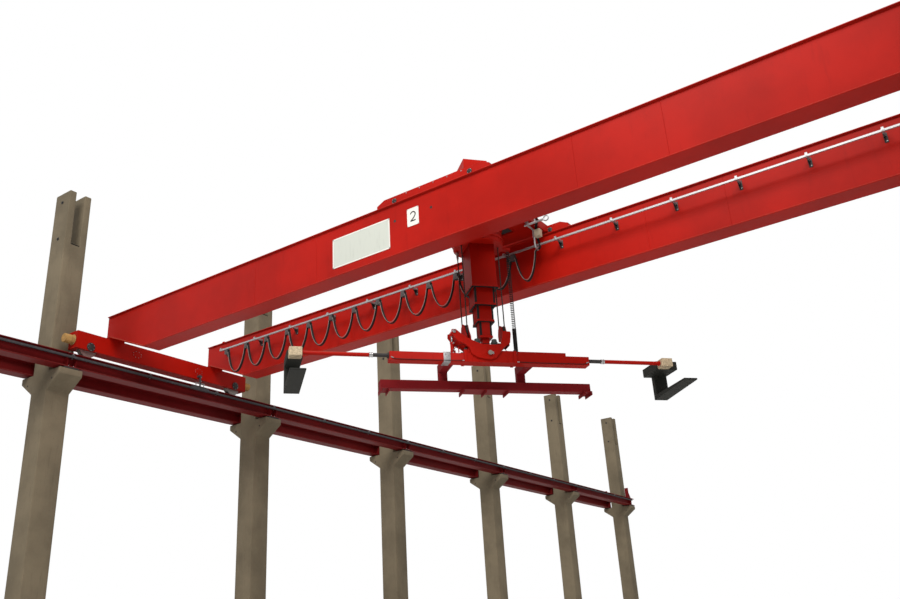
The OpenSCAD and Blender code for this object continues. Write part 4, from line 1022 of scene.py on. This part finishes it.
def fit_arms():
    """A dark slide rod in the beam, a bright knuckle on it, and the red tube out to the block."""
    for side, name in SIDES:
        body = name + "_reach"
        way = (side, 0, 0)
        rod = Piece(name + "_slide_rod", BEAM)
        rod.lathe(SLIDE_ROD, (side * 0.40, 0, ARM_Z), way, 24)
        rod.make("sheave_iron", body)
        tube = Piece(name + "_arm_tube", BEAM)
        tube.lathe(ARM_TUBE, (side * 2.20, 0, ARM_Z), way, 28)
        tube.lathe(ARM_COLLAR, (side * 3.322, 0, ARM_Z), way, 28)
        tube.make("crane_red", body, replaces=(name + "_arm",))
        knuckle = Piece(name + "_arm_knuckle", BEAM)
        knuckle.lathe(KNUCKLE, (side * 2.135, 0, ARM_Z), way, 24)
        knuckle.make("chrome", body, "pin_steel")
        ring = Piece(name + "_beam_end_ring", BEAM)
        outline = [(y, ARM_Z + min(0.045, z)) for y, z in circle(28, 0.058)]
        ring.slab(outline, side * 1.858, side * 1.874, "x")
        feet = [(side * 1.874, y, z) for y, z in circle(4, 0.047, centre=(0, ARM_Z), first=45)]
        ring.bolts(feet, way, 0.010)
        ring.make("sheave_iron", HEAD_BODY)


cap_pin()
plate_beam()
sleeve_beam()
dress_cylinder()
set_valves()
lead_hoses()
fit_arms()


# Trolley and winch
FRAME_LOW, FRAME_HIGH = box_of("trolley_side_frames")
CROSS_LOW, CROSS_HIGH = box_of("trolley_cross_beams")
SIDE_FRAMES = ((FRAME_LOW[1], CROSS_LOW[1]), (CROSS_HIGH[1], FRAME_HIGH[1]))
FRAME_X = (FRAME_LOW[0] + FRAME_HIGH[0]) / 2
AXLE_Z = 9.33
AXLE_CAP = ((0.050, 0), (0.050, 0.010), (0.040, 0.014), (0.028, 0.014), (0.024, 0.022))
DECK_Z = box_of("trolley_deck")[0][2]
RING_Z = 8.775
HOUSING_RIBS, FIRST_RIB = 12, 0.13
TOW_X = 0.77
TOW_TUBE = ((-8.86, 9.262), (-8.86, 9.235), (-8.855, 9.215), (-8.835, 9.203), (-8.80, 9.20), (-8.66, 9.20),
            (-8.62, 9.192), (-8.598, 9.172), (-8.59, 9.14), (-8.59, 9.00), (-8.59, 8.87), (-8.586, 8.845),
            (-8.572, 8.832), (-8.545, 8.828), (-8.47, 8.828))
GUIDE_Y, GUIDE_Z = -8.905, 9.175
JUNCTION_LOW, JUNCTION_HIGH = box_of("control_box")
DRUM_START, DRUM_LEN, DRUM_R = 0.2983, 0.34, 0.17
DRUM_Y, DRUM_Z = 0.069, 9.72
DRUM_TURNS = 9
CASE_START = DRUM_START + DRUM_LEN + 0.06
CASE_LEN = 0.14
MOTOR_START = CASE_START + CASE_LEN
MOTOR_LEN, MOTOR_R = 0.32, 0.11
FOOT_Z = 9.49


def dress_side_frames():
    """Bearing caps with their screws, and bolts on the side frames and under the deck."""
    caps = Piece("trolley_axle_caps")
    bolts = Piece("trolley_bolts")
    for y0, y1 in SIDE_FRAMES:
        for y, way in ((y0, -1), (y1, 1)):
            for x in (FRAME_X - 0.82, FRAME_X + 0.82):
                caps.lathe(AXLE_CAP, (x, y, AXLE_Z), (0, way, 0), 24)
                feet = [(a, y + way * 0.010, b) for a, b in circle(4, 0.040, centre=(x, AXLE_Z), first=45)]
                bolts.bolts(feet, (0, way, 0), 0.010)
            feet = [(FRAME_X - 0.55 + 0.3 * k, y, 9.40) for k in range(5)]
            bolts.bolts(feet, (0, way, 0), 0.014)
        for y in (y0 + 0.04, y1 - 0.04):
            feet = [(TROLLEY_X + x, y, FRAME_HIGH[2]) for x in (-0.82, -0.68, 0.68, 0.82)]
            bolts.bolts(feet, UP, 0.022)
    for x in (-0.80, -0.70, 0.70, 0.80):
        feet = [(TROLLEY_X + x, BRIDGE_Y - 1.16 + 0.29 * k, DECK_Z) for k in range(9)]
        bolts.bolts(feet, DOWN, 0.018)
    caps.make("sheave_iron", "trolley", bevel=0.001)
    bolts.make("zinc", "trolley")


def rim_hatch():
    """A dark pan over the deck's hatch, painted shade in place of the shadow that the machinery above casts
    into it, and the rim round it.
    """
    # Painted shade: a black pan that keeps the hatch dark, standing in for the shadow of the machinery above
    # it
    pan = Piece("deck_hatch_pan")
    pan.block((0.085, -8.965, 9.2795), (0.395, -8.665, 9.37))
    pan.make("bearing_black", "trolley", bevel=0.004)
    rim = Piece("deck_hatch_rim")
    x0, x1, y0, y1, wide = 0.10, 0.38, -8.95, -8.68, 0.03
    for low, high in (((x0 - wide, y0 - wide), (x1 + wide, y0)), ((x0 - wide, y1), (x1 + wide, y1 + wide)),
                      ((x0 - wide, y0), (x0, y1)), ((x1, y0), (x1 + wide, y1))):
        rim.block((*low, DECK_Z - 0.012), (*high, DECK_Z + 0.001))
    rim.make("crane_red", "trolley", bevel=0.002)


def dress_housing():
    """The slewing ring with its bolts, and ribs round the housing."""
    ring = Piece("slewing_ring")
    centre = (TROLLEY_X, BRIDGE_Y)
    ring.lathe([(0.474, 0), (0.492, 0.004), (0.492, 0.046), (0.474, 0.050)], (*centre, RING_Z), UP, 64)
    feet = [(x, y, RING_Z + 0.05) for x, y in circle(24, 0.482, centre=centre, first=7.5)]
    ring.bolts(feet, UP, 0.014)
    ring.make("crane_red", "trolley")
    ribs = Piece("housing_ribs")
    for k in range(HOUSING_RIBS):
        spin = math.radians(360 * k / HOUSING_RIBS) + FIRST_RIB
        with ribs.turned(TROLLEY @ Matrix.Rotation(spin, 4, "Z")):
            ribs.slab([(0.468, 9.262), (0.468, 9.02), (0.480, 9.02), (0.560, 9.262)], -0.006, 0.006, "y")
    ribs.make("crane_red", "trolley", bevel=0.0015)


def hang_tow_arm():
    """The bright tube that tows the cables, and their guide arm with its loop."""
    arm = Piece("tow_tube")
    arm.tube([(TOW_X, y, z) for y, z in TOW_TUBE], 0.020, 14)
    for corner, opposite in (((0.74, -8.90, 9.250), (0.80, -8.82, 9.2605)),
                             ((0.745, -8.61, 9.03), (0.805, -8.57, 9.16)),
                             ((0.752, -8.50, 8.800), (0.788, -8.468, 8.870))):
        arm.block(corner, opposite)
    arm.make("zinc", "trolley", replaces=("festoon_tow_arm",))
    guide = Piece("cable_guide_arm")
    guide.tube([(0.74, -8.90, GUIDE_Z), (0.80, -8.90, GUIDE_Z), (1.10, GUIDE_Y, GUIDE_Z),
                (1.16, GUIDE_Y, GUIDE_Z)], 0.022, 16)
    guide.tube([(x, GUIDE_Y, z) for x, z in arc(28, 0, 360, 0.052, centre=(1.215, 9.182))], 0.013, 12)
    for x in (0.79, 0.97):
        guide.block((x, -8.925, 9.165), (x + 0.03, -8.885, 9.262))
    guide.make("zinc", "trolley")


def lead_tow_cables():
    """The power cables brought up from the last saddle and over the deck's edge."""
    for letter, s in ABREAST:
        knots = [(0.766, -8.49 + s, 8.8152), (0.80, -8.49 + s, 8.822), (0.829, -8.493 + s, 8.862),
                 (0.816 + 0.4 * s, -8.497 + 0.8 * s, 8.95), (0.793 + 0.8 * s, -8.500 + 0.4 * s, 9.05)]
        knots += [(x + s, y, z) for x, y, z in (
            (0.792, -8.512, 9.135), (0.812, -8.562, 9.200), (0.88, -8.68, 9.216), (0.95, -8.79, 9.212),
            (1.0, -8.88, 9.219), (1.03, -8.94, 9.226), (1.05, -8.99, 9.238), (1.062, -9.03, 9.262))]
        lay_cord("tow_cable_lead_" + letter, spline(knots), POWER_R, "trolley", "medium", "hanging")


def close_junction_box():
    """The lid of the box with its screws, and the glands under it."""
    lid = Piece("junction_box_lid")
    (x0, y0, z0), (x1, _, z1) = JUNCTION_LOW, JUNCTION_HIGH
    lid.block((x0 + 0.004, y0 - 0.006, z0 + 0.004), (x1 - 0.004, y0 + 0.001, z1 - 0.004))
    for x in (x0 + 0.014, x1 - 0.014):
        for z in (z0 + 0.014, z1 - 0.014):
            lid.lathe([(0.005, 0), (0.005, 0.002), (0.003, 0.003)], (x, y0 - 0.006, z), (0, -1, 0), 12)
    for x in (x0 + 0.03, x0 + 0.06, x0 + 0.09):
        lid.lathe([(0.010, 0), (0.010, 0.010), (0.007, 0.016)], (x, -8.59, z0), DOWN, 12)
    lid.make("box_beige", "trolley", bevel=0.0015)


def dress_winch():
    """Rope wound on the drums, bearing caps and feet, fins and fan hoods on the motors."""
    ropes = Piece("drum_rope_layers", MAST)
    stands = Piece("drum_stand_caps", MAST)
    fins = Piece("motor_fins", MAST)
    feet = Piece("winch_bolts", MAST)
    for side in (-1, 1):
        axis = (side, 0, 0)
        drum, case, motor = side * DRUM_START, side * CASE_START, side * MOTOR_START
        wound = arc(16 * DRUM_TURNS, 0, 360 * DRUM_TURNS, DRUM_R + 0.008, centre=(DRUM_Y, DRUM_Z))
        path = [(drum + side * (0.035 + 0.019 * k / 16), y, z) for k, (y, z) in enumerate(wound)]
        ropes.tube(path, 0.009, 6)
        for x in (drum - side * 0.025, drum + side * (DRUM_LEN + 0.035)):
            stands.lathe([(0.052, -0.035), (0.056, -0.030), (0.056, 0.030), (0.052, 0.035)],
                         (x, DRUM_Y, DRUM_Z), (1, 0, 0), 28)
            feet.bolts([(x, DRUM_Y + dy, DRUM_Z + 0.07) for dy in (-0.055, 0.055)], UP, 0.018)
        tail = motor + side * (MOTOR_LEN - 0.045)
        for k in range(16):
            spin = Matrix.Rotation(math.radians(22.5 * k), 4, "X")
            with fins.turned(Matrix.Translation((0, DRUM_Y, DRUM_Z)) @ spin):
                fins.block((motor + side * 0.02, -0.003, MOTOR_R - 0.004), (tail, 0.003, MOTOR_R + 0.012))
        fins.lathe([(MOTOR_R + 0.002, 0), (MOTOR_R + 0.012, 0.004), (MOTOR_R + 0.012, 0.050),
                    (MOTOR_R - 0.02, 0.062)], (tail, DRUM_Y, DRUM_Z), axis, 32)
        flange = (motor + side * 0.001, DRUM_Y, DRUM_Z)
        fins.lathe([(MOTOR_R + 0.016, 0), (MOTOR_R + 0.016, 0.014)], flange, axis, 32)
        fins.block((motor + side * 0.06, DRUM_Y - 0.045, DRUM_Z + MOTOR_R - 0.01),
                   (motor + side * 0.15, DRUM_Y + 0.045, DRUM_Z + MOTOR_R + 0.045))
        for way in (-1, 1):
            spots = [(case + side * dx, DRUM_Y + way * 0.115, DRUM_Z + 0.13) for dx in (0.025, 0.115)]
            feet.bolts(spots, UP, 0.016)
            fins.block((case, DRUM_Y + way * 0.13, FOOT_Z), (motor, DRUM_Y + way * 0.165, FOOT_Z + 0.015))
            feet.bolt(((case + motor) / 2, DRUM_Y + way * 0.148, FOOT_Z + 0.015), UP, 0.018)
    ropes.make("rope_wire", "mast", "drum_steel", angle=ROUND_ANGLE)
    stands.make("drum_steel", "mast")
    fins.make("motor_green", "mast")
    feet.make("zinc", "mast")


def brace_platform():
    """Gussets under the winch platform."""
    braces = Piece("platform_gussets", MAST)
    for side in (-1, 1):
        outline = [(side * a, z) for a, z in ((0.239, 9.471), (0.239, 9.25), (0.26, 9.25), (0.70, 9.445),
                                              (0.70, 9.471))]
        for y in (-0.12, 0.12):
            braces.slab(outline, y - 0.006, y + 0.006, "y")
    braces.make("crane_red", "mast", bevel=0.002)


dress_side_frames()
rim_hatch()
dress_housing()
hang_tow_arm()
lead_tow_cables()
close_junction_box()
dress_winch()
brace_platform()


# Bridge
GIRDERS = [box_of(name) for name in ("front_girder", "rear_girder")]
GIRDER_YS = [(low[1] + high[1]) / 2 for low, high in GIRDERS]
GIRDER_HALF = 0.20
WEB_FACES = [(y + way * GIRDER_HALF, way) for y in GIRDER_YS for way in (-1, 1)]
GIRDER_END = GIRDERS[0][1][0] - 0.002
SIGNS_LOW, SIGNS_HIGH = box_of("sign_plates")
SIGN_Y = SIGNS_LOW[1]
PANEL = (SIGNS_LOW[0], -0.79, SIGNS_LOW[2], 8.96)
NUMBER_PLATE = (-0.39, SIGNS_HIGH[0], 8.64, SIGNS_HIGH[2])
RAIL_FOOT = box_of("trolley_rails")[0][2]
CLIPS, CLIP_START, CLIP_PITCH, CLIP_THICK = 25, -8.4, 0.7, 0.013
HOLE_XS, HOLE_Z = (-0.67, 0.13), 8.862
SEAM_XS = (-4.2, -2.55, 2.9, 4.4)
BRACKET_FOOT, BRACKET_TOP = 8.80, 8.98
FESTOON_RAIL_Y, FESTOON_RAIL_Z = -8.49, 8.903
SHOE_YS = (-8.82, -8.70, -8.50, -8.38)
SPRING_X, SPRING_YS, SPRING_Z = -8.775, (-8.72, -8.48), 8.062
SPRING_R, SPRING_WIRE_R = 0.012, 0.0025
PLUG = ((0.026, -0.002), (0.026, 0.0015), (0.020, 0.0015), (0.020, 0.0008))
WHEEL_CAP = ((0.098, 0), (0.098, 0.014), (0.088, 0.018), (0.060, 0.018), (0.056, 0.030), (0.030, 0.034))
RAIL_STOP = ((8.56, 9.25), (8.64, 9.25), (8.64, 9.31), (8.60, 9.34), (8.56, 9.34))
NUMBER_X, NUMBER_Z = -0.265, 8.818
NUMBER_HIGH, NUMBER_STROKE = 0.185, 0.022
NUMBER_WIDE = 0.95 * NUMBER_HIGH
CARRIAGE_LOW, CARRIAGE_HIGH = box_of("right_end_carriage")
CARRIAGE_XS = [side * (CARRIAGE_LOW[0] + CARRIAGE_HIGH[0]) / 2 for side in (-1, 1)]
CARRIAGE_HALF = (CARRIAGE_HIGH[0] - CARRIAGE_LOW[0]) / 2
CARRIAGE_Z = (CARRIAGE_LOW[2] + CARRIAGE_HIGH[2]) / 2
WHEEL_Z = 8.3603
WHEEL_REACH = 2.1
BUFFER_TIP = BRIDGE_Y - box_of("buffers")[0][1]
BUFFER_PLATE = BUFFER_TIP - 0.2
BRACKET_PITCH = 1.17
REAR_WEB_Y = WEB_FACES[2][0]


def stroke(points, width):
    """The outline of a bent line of this width, as (a, b) points."""
    left, right = [], []
    for i, p in enumerate(points):
        way = (Vector(points[min(i + 1, len(points) - 1)]) - Vector(points[max(i - 1, 0)])).normalized()
        side = Vector((-way.y, way.x)) * width / 2
        left.append(tuple(Vector(p) + side))
        right.append(tuple(Vector(p) - side))
    return left + right[::-1]


def paint_number():
    """The crane's number, a plain 2."""
    digit = Piece("bridge_number")
    curve = arc(14, 165, -40, 0.30, 0.28, (0, 0.22)) + [(0.10, -0.14), (-0.28, -0.44)]
    line = [(NUMBER_X + a * NUMBER_WIDE, NUMBER_Z + b * NUMBER_HIGH) for a, b in curve]
    front, back = SIGN_Y - 0.0015, SIGN_Y + 0.0005
    digit.slab(stroke(line, NUMBER_STROKE), front, back, "y")
    half = 0.31 * NUMBER_HIGH
    foot = NUMBER_Z - 0.5 * NUMBER_HIGH
    digit.block((NUMBER_X - half, front, foot), (NUMBER_X + half, back, foot + 0.023))
    digit.make("cable_black", "bridge")


def mount_signs():
    """The blank panel's sheet, and the rims and screws of both plates."""
    sheet = Piece("panel_sheet")
    x0, x1, z0, z1 = PANEL
    sheet.block((x0 + 0.025, SIGN_Y - 0.001, z0 + 0.025), (x1 - 0.025, SIGN_Y + 0.001, z1 - 0.025))
    sheet.make("panel_grey", "bridge", "sign_white")
    rim = Piece("sign_rims")
    for (x0, x1, z0, z1), w in ((PANEL, 0.024), (NUMBER_PLATE, 0.008)):
        bars = (x0, x1, z0, z0 + w), (x0, x1, z1 - w, z1), (x0, x0 + w, z0, z1), (x1 - w, x1, z0, z1)
        for a, b, c, d in bars:
            rim.block((a, SIGN_Y - 0.003, c), (b, SIGN_Y + 0.001, d))
    rim.make("sign_white", "bridge")
    screws = Piece("sign_screws")
    spots = [(x, z) for x in (-2.128, -1.46, -0.802) for z in (8.372, 8.948)]
    spots += [(x, z) for x in (-0.380, -0.150) for z in (8.650, 8.980)]
    for x, z in spots:
        screws.lathe([(0.007, 0), (0.007, 0.003), (0.004, 0.005)], (x, SIGN_Y - 0.003, z), (0, -1, 0), 12)
    screws.make("zinc", "bridge")


def mark_girders():
    """Weld seams, plugged lifting holes and end plates of the box girders."""
    plugs = Piece("lifting_hole_plugs")
    seams = Piece("girder_weld_seams")
    ends = Piece("girder_end_plates")
    for y, way in WEB_FACES:
        for x in HOLE_XS:
            plugs.lathe(PLUG, (x, y, HOLE_Z), (0, way, 0), 20)
        for x in SEAM_XS:
            seams.rod((x, y, 8.205), (x, y, 9.19), 0.0035, 6)
        for z, half in ((8.2075, 7.55), (9.1925, 8.85)):
            seams.rod((-half, y, z), (half, y, z), 0.004, 6)
    for side in (-1, 1):
        for y in GIRDER_YS:
            outer = side * (GIRDER_END + 0.014)
            ends.block((side * GIRDER_END, y - 0.197, 8.71), (outer, y + 0.197, 9.20))
            feet = [(outer, y + dy, z) for z in (8.83, 9.11) for dy in (-0.14, 0.14)]
            ends.bolts(feet, (side, 0, 0), 0.022)
    plugs.make("sheave_iron", "bridge")
    seams.make("crane_red", "bridge", angle=ROUND_ANGLE)
    ends.make("crane_red", "bridge", bevel=0.002)


def dress_carriages():
    """Bearing caps at the wheels, inspection covers and the buffers' end caps, each with its screws."""
    caps = Piece("wheel_bearing_caps")
    bolts = Piece("carriage_bolts")
    pads = Piece("buffer_caps")
    covers = Piece("carriage_covers")
    for x in CARRIAGE_XS:
        for side in (-1, 1):
            y, axis = BRIDGE_Y + side * WHEEL_REACH, (0, side, 0)
            for way in (-1, 1):
                face = x + way * CARRIAGE_HALF
                caps.lathe(WHEEL_CAP, (face, y, WHEEL_Z), (way, 0, 0), 36)
                round_axle = circle(6, 0.078, centre=(y, WHEEL_Z), first=30)
                bolts.bolts([(face + way * 0.016, a, b) for a, b in round_axle], (way, 0, 0), 0.014)
                middle = (BRIDGE_Y + side * 0.9, CARRIAGE_Z)
                covers.slab(circle(28, 0.13, 0.09, middle), face - way * 0.001, face + way * 0.006, "x")
                feet = [(face + way * 0.006, a, b) for a, b in circle(8, 0.112, 0.073, middle, 22.5)]
                bolts.bolts(feet, (way, 0, 0), 0.009)
            plate = BRIDGE_Y + side * BUFFER_PLATE
            pads.lathe([(0.101, 0), (0.101, 0.010), (0.090, 0.018)],
                       (x, BRIDGE_Y + side * (BUFFER_TIP - 0.010), CARRIAGE_Z), axis, 36)
            pads.lathe([(0.1015, 0), (0.104, 0.004), (0.104, 0.014), (0.1015, 0.018)],
                       (x, plate + side * 0.06, CARRIAGE_Z), axis, 36)
            bolts.bolts([(a, plate, b) for a, b in circle(6, 0.110, centre=(x, CARRIAGE_Z))], axis, 0.009)
    caps.make("sheave_iron", "bridge", bevel=0.001)
    bolts.make("zinc", "bridge")
    pads.make("buffer_ochre", "bridge")
    covers.make("crane_red", "bridge", bevel=0.0015)


def clip_trolley_rails():
    """Clamp plates with screws along the trolley rails, and stops at their ends."""
    clips = Piece("trolley_rail_clips")
    stops = Piece("trolley_rail_stops")
    for y in GIRDER_YS:
        for k in range(CLIPS):
            x = CLIP_START + CLIP_PITCH * k
            top = RAIL_FOOT + CLIP_THICK
            for side in (-1, 1):
                clips.block((x - 0.03, y + side * 0.022, RAIL_FOOT), (x + 0.03, y + side * 0.075, top))
                clips.bolt((x, y + side * 0.052, top), UP, 0.014)
        for side in (-1, 1):
            stops.slab([(side * a, b) for a, b in RAIL_STOP], y - 0.05, y + 0.05, "y")
    clips.make("zinc", "bridge")
    stops.make("crane_red", "bridge", bevel=0.004)


def bracket_festoon():
    """Dark angle brackets on the rear girder, and the clamps that hold the festoon rail."""
    angles = Piece("festoon_brackets")
    clamps = Piece("festoon_rail_clamps")
    face = REAR_WEB_Y - 0.006
    knee = [(REAR_WEB_Y, 8.935), (REAR_WEB_Y, BRACKET_FOOT), (face, BRACKET_FOOT), (-8.34, 8.922),
            (-8.47, 8.922), (-8.47, 8.935)]
    for k in range(-7, 8):
        x = BRACKET_PITCH * k
        angles.slab(knee, x - 0.028, x - 0.022, "x")
        angles.block((x - 0.03, face, BRACKET_FOOT), (x + 0.03, REAR_WEB_Y + 0.001, BRACKET_TOP))
        clamps.bolts([(x + 0.008, face, z) for z in (8.83, 8.96)], (0, -1, 0), 0.014)
        clamps.block((x - 0.025, FESTOON_RAIL_Y - 0.025, FESTOON_RAIL_Z - 0.023),
                     (x + 0.025, FESTOON_RAIL_Y + 0.025, FESTOON_RAIL_Z + 0.023))
        clamps.bolt((x, FESTOON_RAIL_Y - 0.025, FESTOON_RAIL_Z), (0, -1, 0), 0.010)
    angles.make("sheave_iron", "bridge", bevel=0.001)
    clamps.make("zinc", "bridge", bevel=0.002)


def fit_collector():
    """The collector's insulated head with its shoes, its springs and screws."""
    head = Piece("collector_shoes")
    for y in SHOE_YS:
        head.slab([(y - 0.035, 7.985), (y + 0.035, 7.985), (y + 0.024, 8.055), (y - 0.024, 8.055)],
                  -8.806, -8.794, "x")
    head.block((-8.806, -8.80, 8.046), (-8.735, -8.40, 8.062))
    head.make("cable_black", "bridge", bevel=0.002)
    springs = Piece("collector_springs")
    for y in SPRING_YS:
        path = [(SPRING_X + SPRING_R * math.cos(0.8 * k), y + SPRING_R * math.sin(0.8 * k),
                 SPRING_Z + 0.0016 * k) for k in range(56)]
        springs.tube(path, SPRING_WIRE_R, 6)
        springs.rod((SPRING_X, y, SPRING_Z - 0.007), (SPRING_X, y, 8.16), 0.005, 10)
    springs.block((-8.795, -8.74, 8.150), (-8.755, -8.46, 8.162))
    springs.bolts([(-8.735, -8.60, z) for z in (8.20, 8.30)], (1, 0, 0), 0.014)
    springs.make("zinc", "bridge")


paint_number()
mount_signs()
mark_girders()
dress_carriages()
clip_trolley_rails()
bracket_festoon()
fit_collector()


# Runway and columns
RUNWAY_LOW, RUNWAY_HIGH = box_of("inner_runway_right")
COLUMNS_LOW, COLUMNS_HIGH = box_of("columns_right")
RAIL_XS = (9.0, 10.1)
RAIL_CLIPS = 58
RAIL_CLIP_END = 17.6
COLUMN_X, COLUMN_HALF = (COLUMNS_LOW[0] + COLUMNS_HIGH[0]) / 2, 0.275
SEAT_Z, CHEEK_BOLTS_Z, SOCKET_Z = 10.85, (11.0, 11.95), 7.56
RUNWAY_HALF = COLUMNS_HIGH[1] - COLUMN_HALF
COLUMN_YS = [RUNWAY_HALF * (k / 3 - 1) for k in range(7)]
SOCKET = ((0.022, -0.002), (0.022, 0.0015), (0.015, 0.0015), (0.015, 0.0005))
FLANGE_FOOT, FLANGE_TOP = RUNWAY_LOW[2] + 0.02, RUNWAY_HIGH[2]
CLIP_TOP = FLANGE_TOP + 0.014
INSULATOR_PITCH = 2.0
COVER_PITCH, COVER_SHIFT = 3.4, 0.7
SKIRT_XS = (-8.852, -8.842, -8.820, -8.810)
LINE_HALF = 17.69
STOP_BOLT_YS, STOP_FOOT_Z = (17.90, 18.04, 18.20), 8.15


def clip_crane_rails():
    """Clamp plates with their screws along the crane rails."""
    for side, name in SIDES:
        clips = Piece("crane_rail_clips_" + name)
        for x in RAIL_XS:
            x = side * x
            for k in range(RAIL_CLIPS):
                y = RAIL_CLIP_END * (2 * k / (RAIL_CLIPS - 1) - 1)
                for way in (-1, 1):
                    inner, outer = x + way * 0.027, x + way * 0.092
                    clips.block((inner, y - 0.03, FLANGE_TOP), (outer, y + 0.03, CLIP_TOP))
                    clips.bolt((x + way * 0.075, y, CLIP_TOP), UP, 0.012)
        clips.make("rail_steel", "structure")


def stiffen_runway():
    """Web stiffeners over each corbel, with bolts through both flanges."""
    for side, name in SIDES:
        plates = Piece("runway_stiffeners_" + name)
        bolts = Piece("runway_bolts_" + name)
        for x in RAIL_XS:
            x = side * x
            for y in COLUMN_YS:
                for way in (-1, 1):
                    for yy in (y - 0.10, y + 0.10):
                        if abs(yy) < RUNWAY_HALF + 0.01:
                            plates.block((x + way * 0.006, yy - 0.005, FLANGE_FOOT + 0.001),
                                         (x + way * 0.140, yy + 0.005, FLANGE_TOP - 0.021))
                    for z, across in ((FLANGE_FOOT + 0.002, 0.024), (FLANGE_TOP, 0.020)):
                        bolts.bolts([(x + way * 0.115, y + dy, z) for dy in (-0.06, 0.06)], UP, across)
        plates.make("runway_red", "structure", bevel=0.001, segments=1)
        bolts.make("zinc", "structure")


def clamp_conductor():
    """Insulators, clamps, joint covers and skirts of the conductor line."""
    hoods = Piece("conductor_insulators")
    clamps = Piece("conductor_clamps")
    for k in range(-8, 9):
        y = INSULATOR_PITCH * k
        hoods.block((-8.862, y - 0.05, 7.996), (-8.8125, y + 0.05, 8.055))
        clamps.block((-8.870, y - 0.014, 7.990), (-8.862, y + 0.014, 8.078))
        clamps.block((-8.99, y - 0.022, 8.064), (-8.814, y + 0.022, 8.078))
        clamps.bolt((-8.838, y, 8.078), UP, 0.016)
    for k in range(-5, 6):
        y = COVER_PITCH * k + COVER_SHIFT
        hoods.block((-8.858, y - 0.09, 8.000), (-8.8135, y + 0.09, 8.050))
    hoods.make("cable_black", "structure", bevel=0.003)
    clamps.make("zinc", "structure")
    skirts = Piece("conductor_skirts")
    for x in SKIRT_XS:
        skirts.block((x - 0.0015, -LINE_HALF, 7.999), (x + 0.0015, LINE_HALF, 8.008))
    skirts.make("line_grey", "structure")


def finish_columns():
    """Seat pads and through bolts of the forked heads, and sockets in the corbels."""
    for side, name in SIDES:
        bolts = Piece("cheek_bolts_" + name)
        pads = Piece("roof_seat_pads_" + name)
        sockets = Piece("corbel_sockets_" + name)
        x = side * COLUMN_X
        for y in COLUMN_YS:
            for way in (-1, 1):
                face = y + way * COLUMN_HALF
                for z in CHEEK_BOLTS_Z:
                    bolts.lathe([(0.040, 0), (0.040, 0.006)], (x, face, z), (0, way, 0), 20)
                    bolts.bolt((x, face + way * 0.006, z), (0, way, 0), 0.030)
                for dx in (-0.45, 0.45):
                    sockets.lathe(SOCKET, (x + dx, face, SOCKET_Z), (0, way, 0), 16)
            pads.block((x - 0.272, y - 0.108, SEAT_Z), (x + 0.272, y + 0.108, SEAT_Z + 0.022))
        bolts.make("sheave_iron", "structure", "bearing_black")
        pads.make("cable_black", "structure", bevel=0.003)
        sockets.make("bearing_black", "structure")


def bolt_stops():
    """Screws through the feet of the end stops."""
    bolts = Piece("end_stop_bolts")
    for side, _ in SIDES:
        for x in RAIL_XS:
            for dx in (-0.06, 0.06):
                feet = [(side * x + dx, end * y, STOP_FOOT_Z) for end in (-1, 1) for y in STOP_BOLT_YS]
                bolts.bolts(feet, UP, 0.022)
    bolts.make("zinc", "structure")


clip_crane_rails()
stiffen_runway()
clamp_conductor()
finish_columns()
bolt_stops()
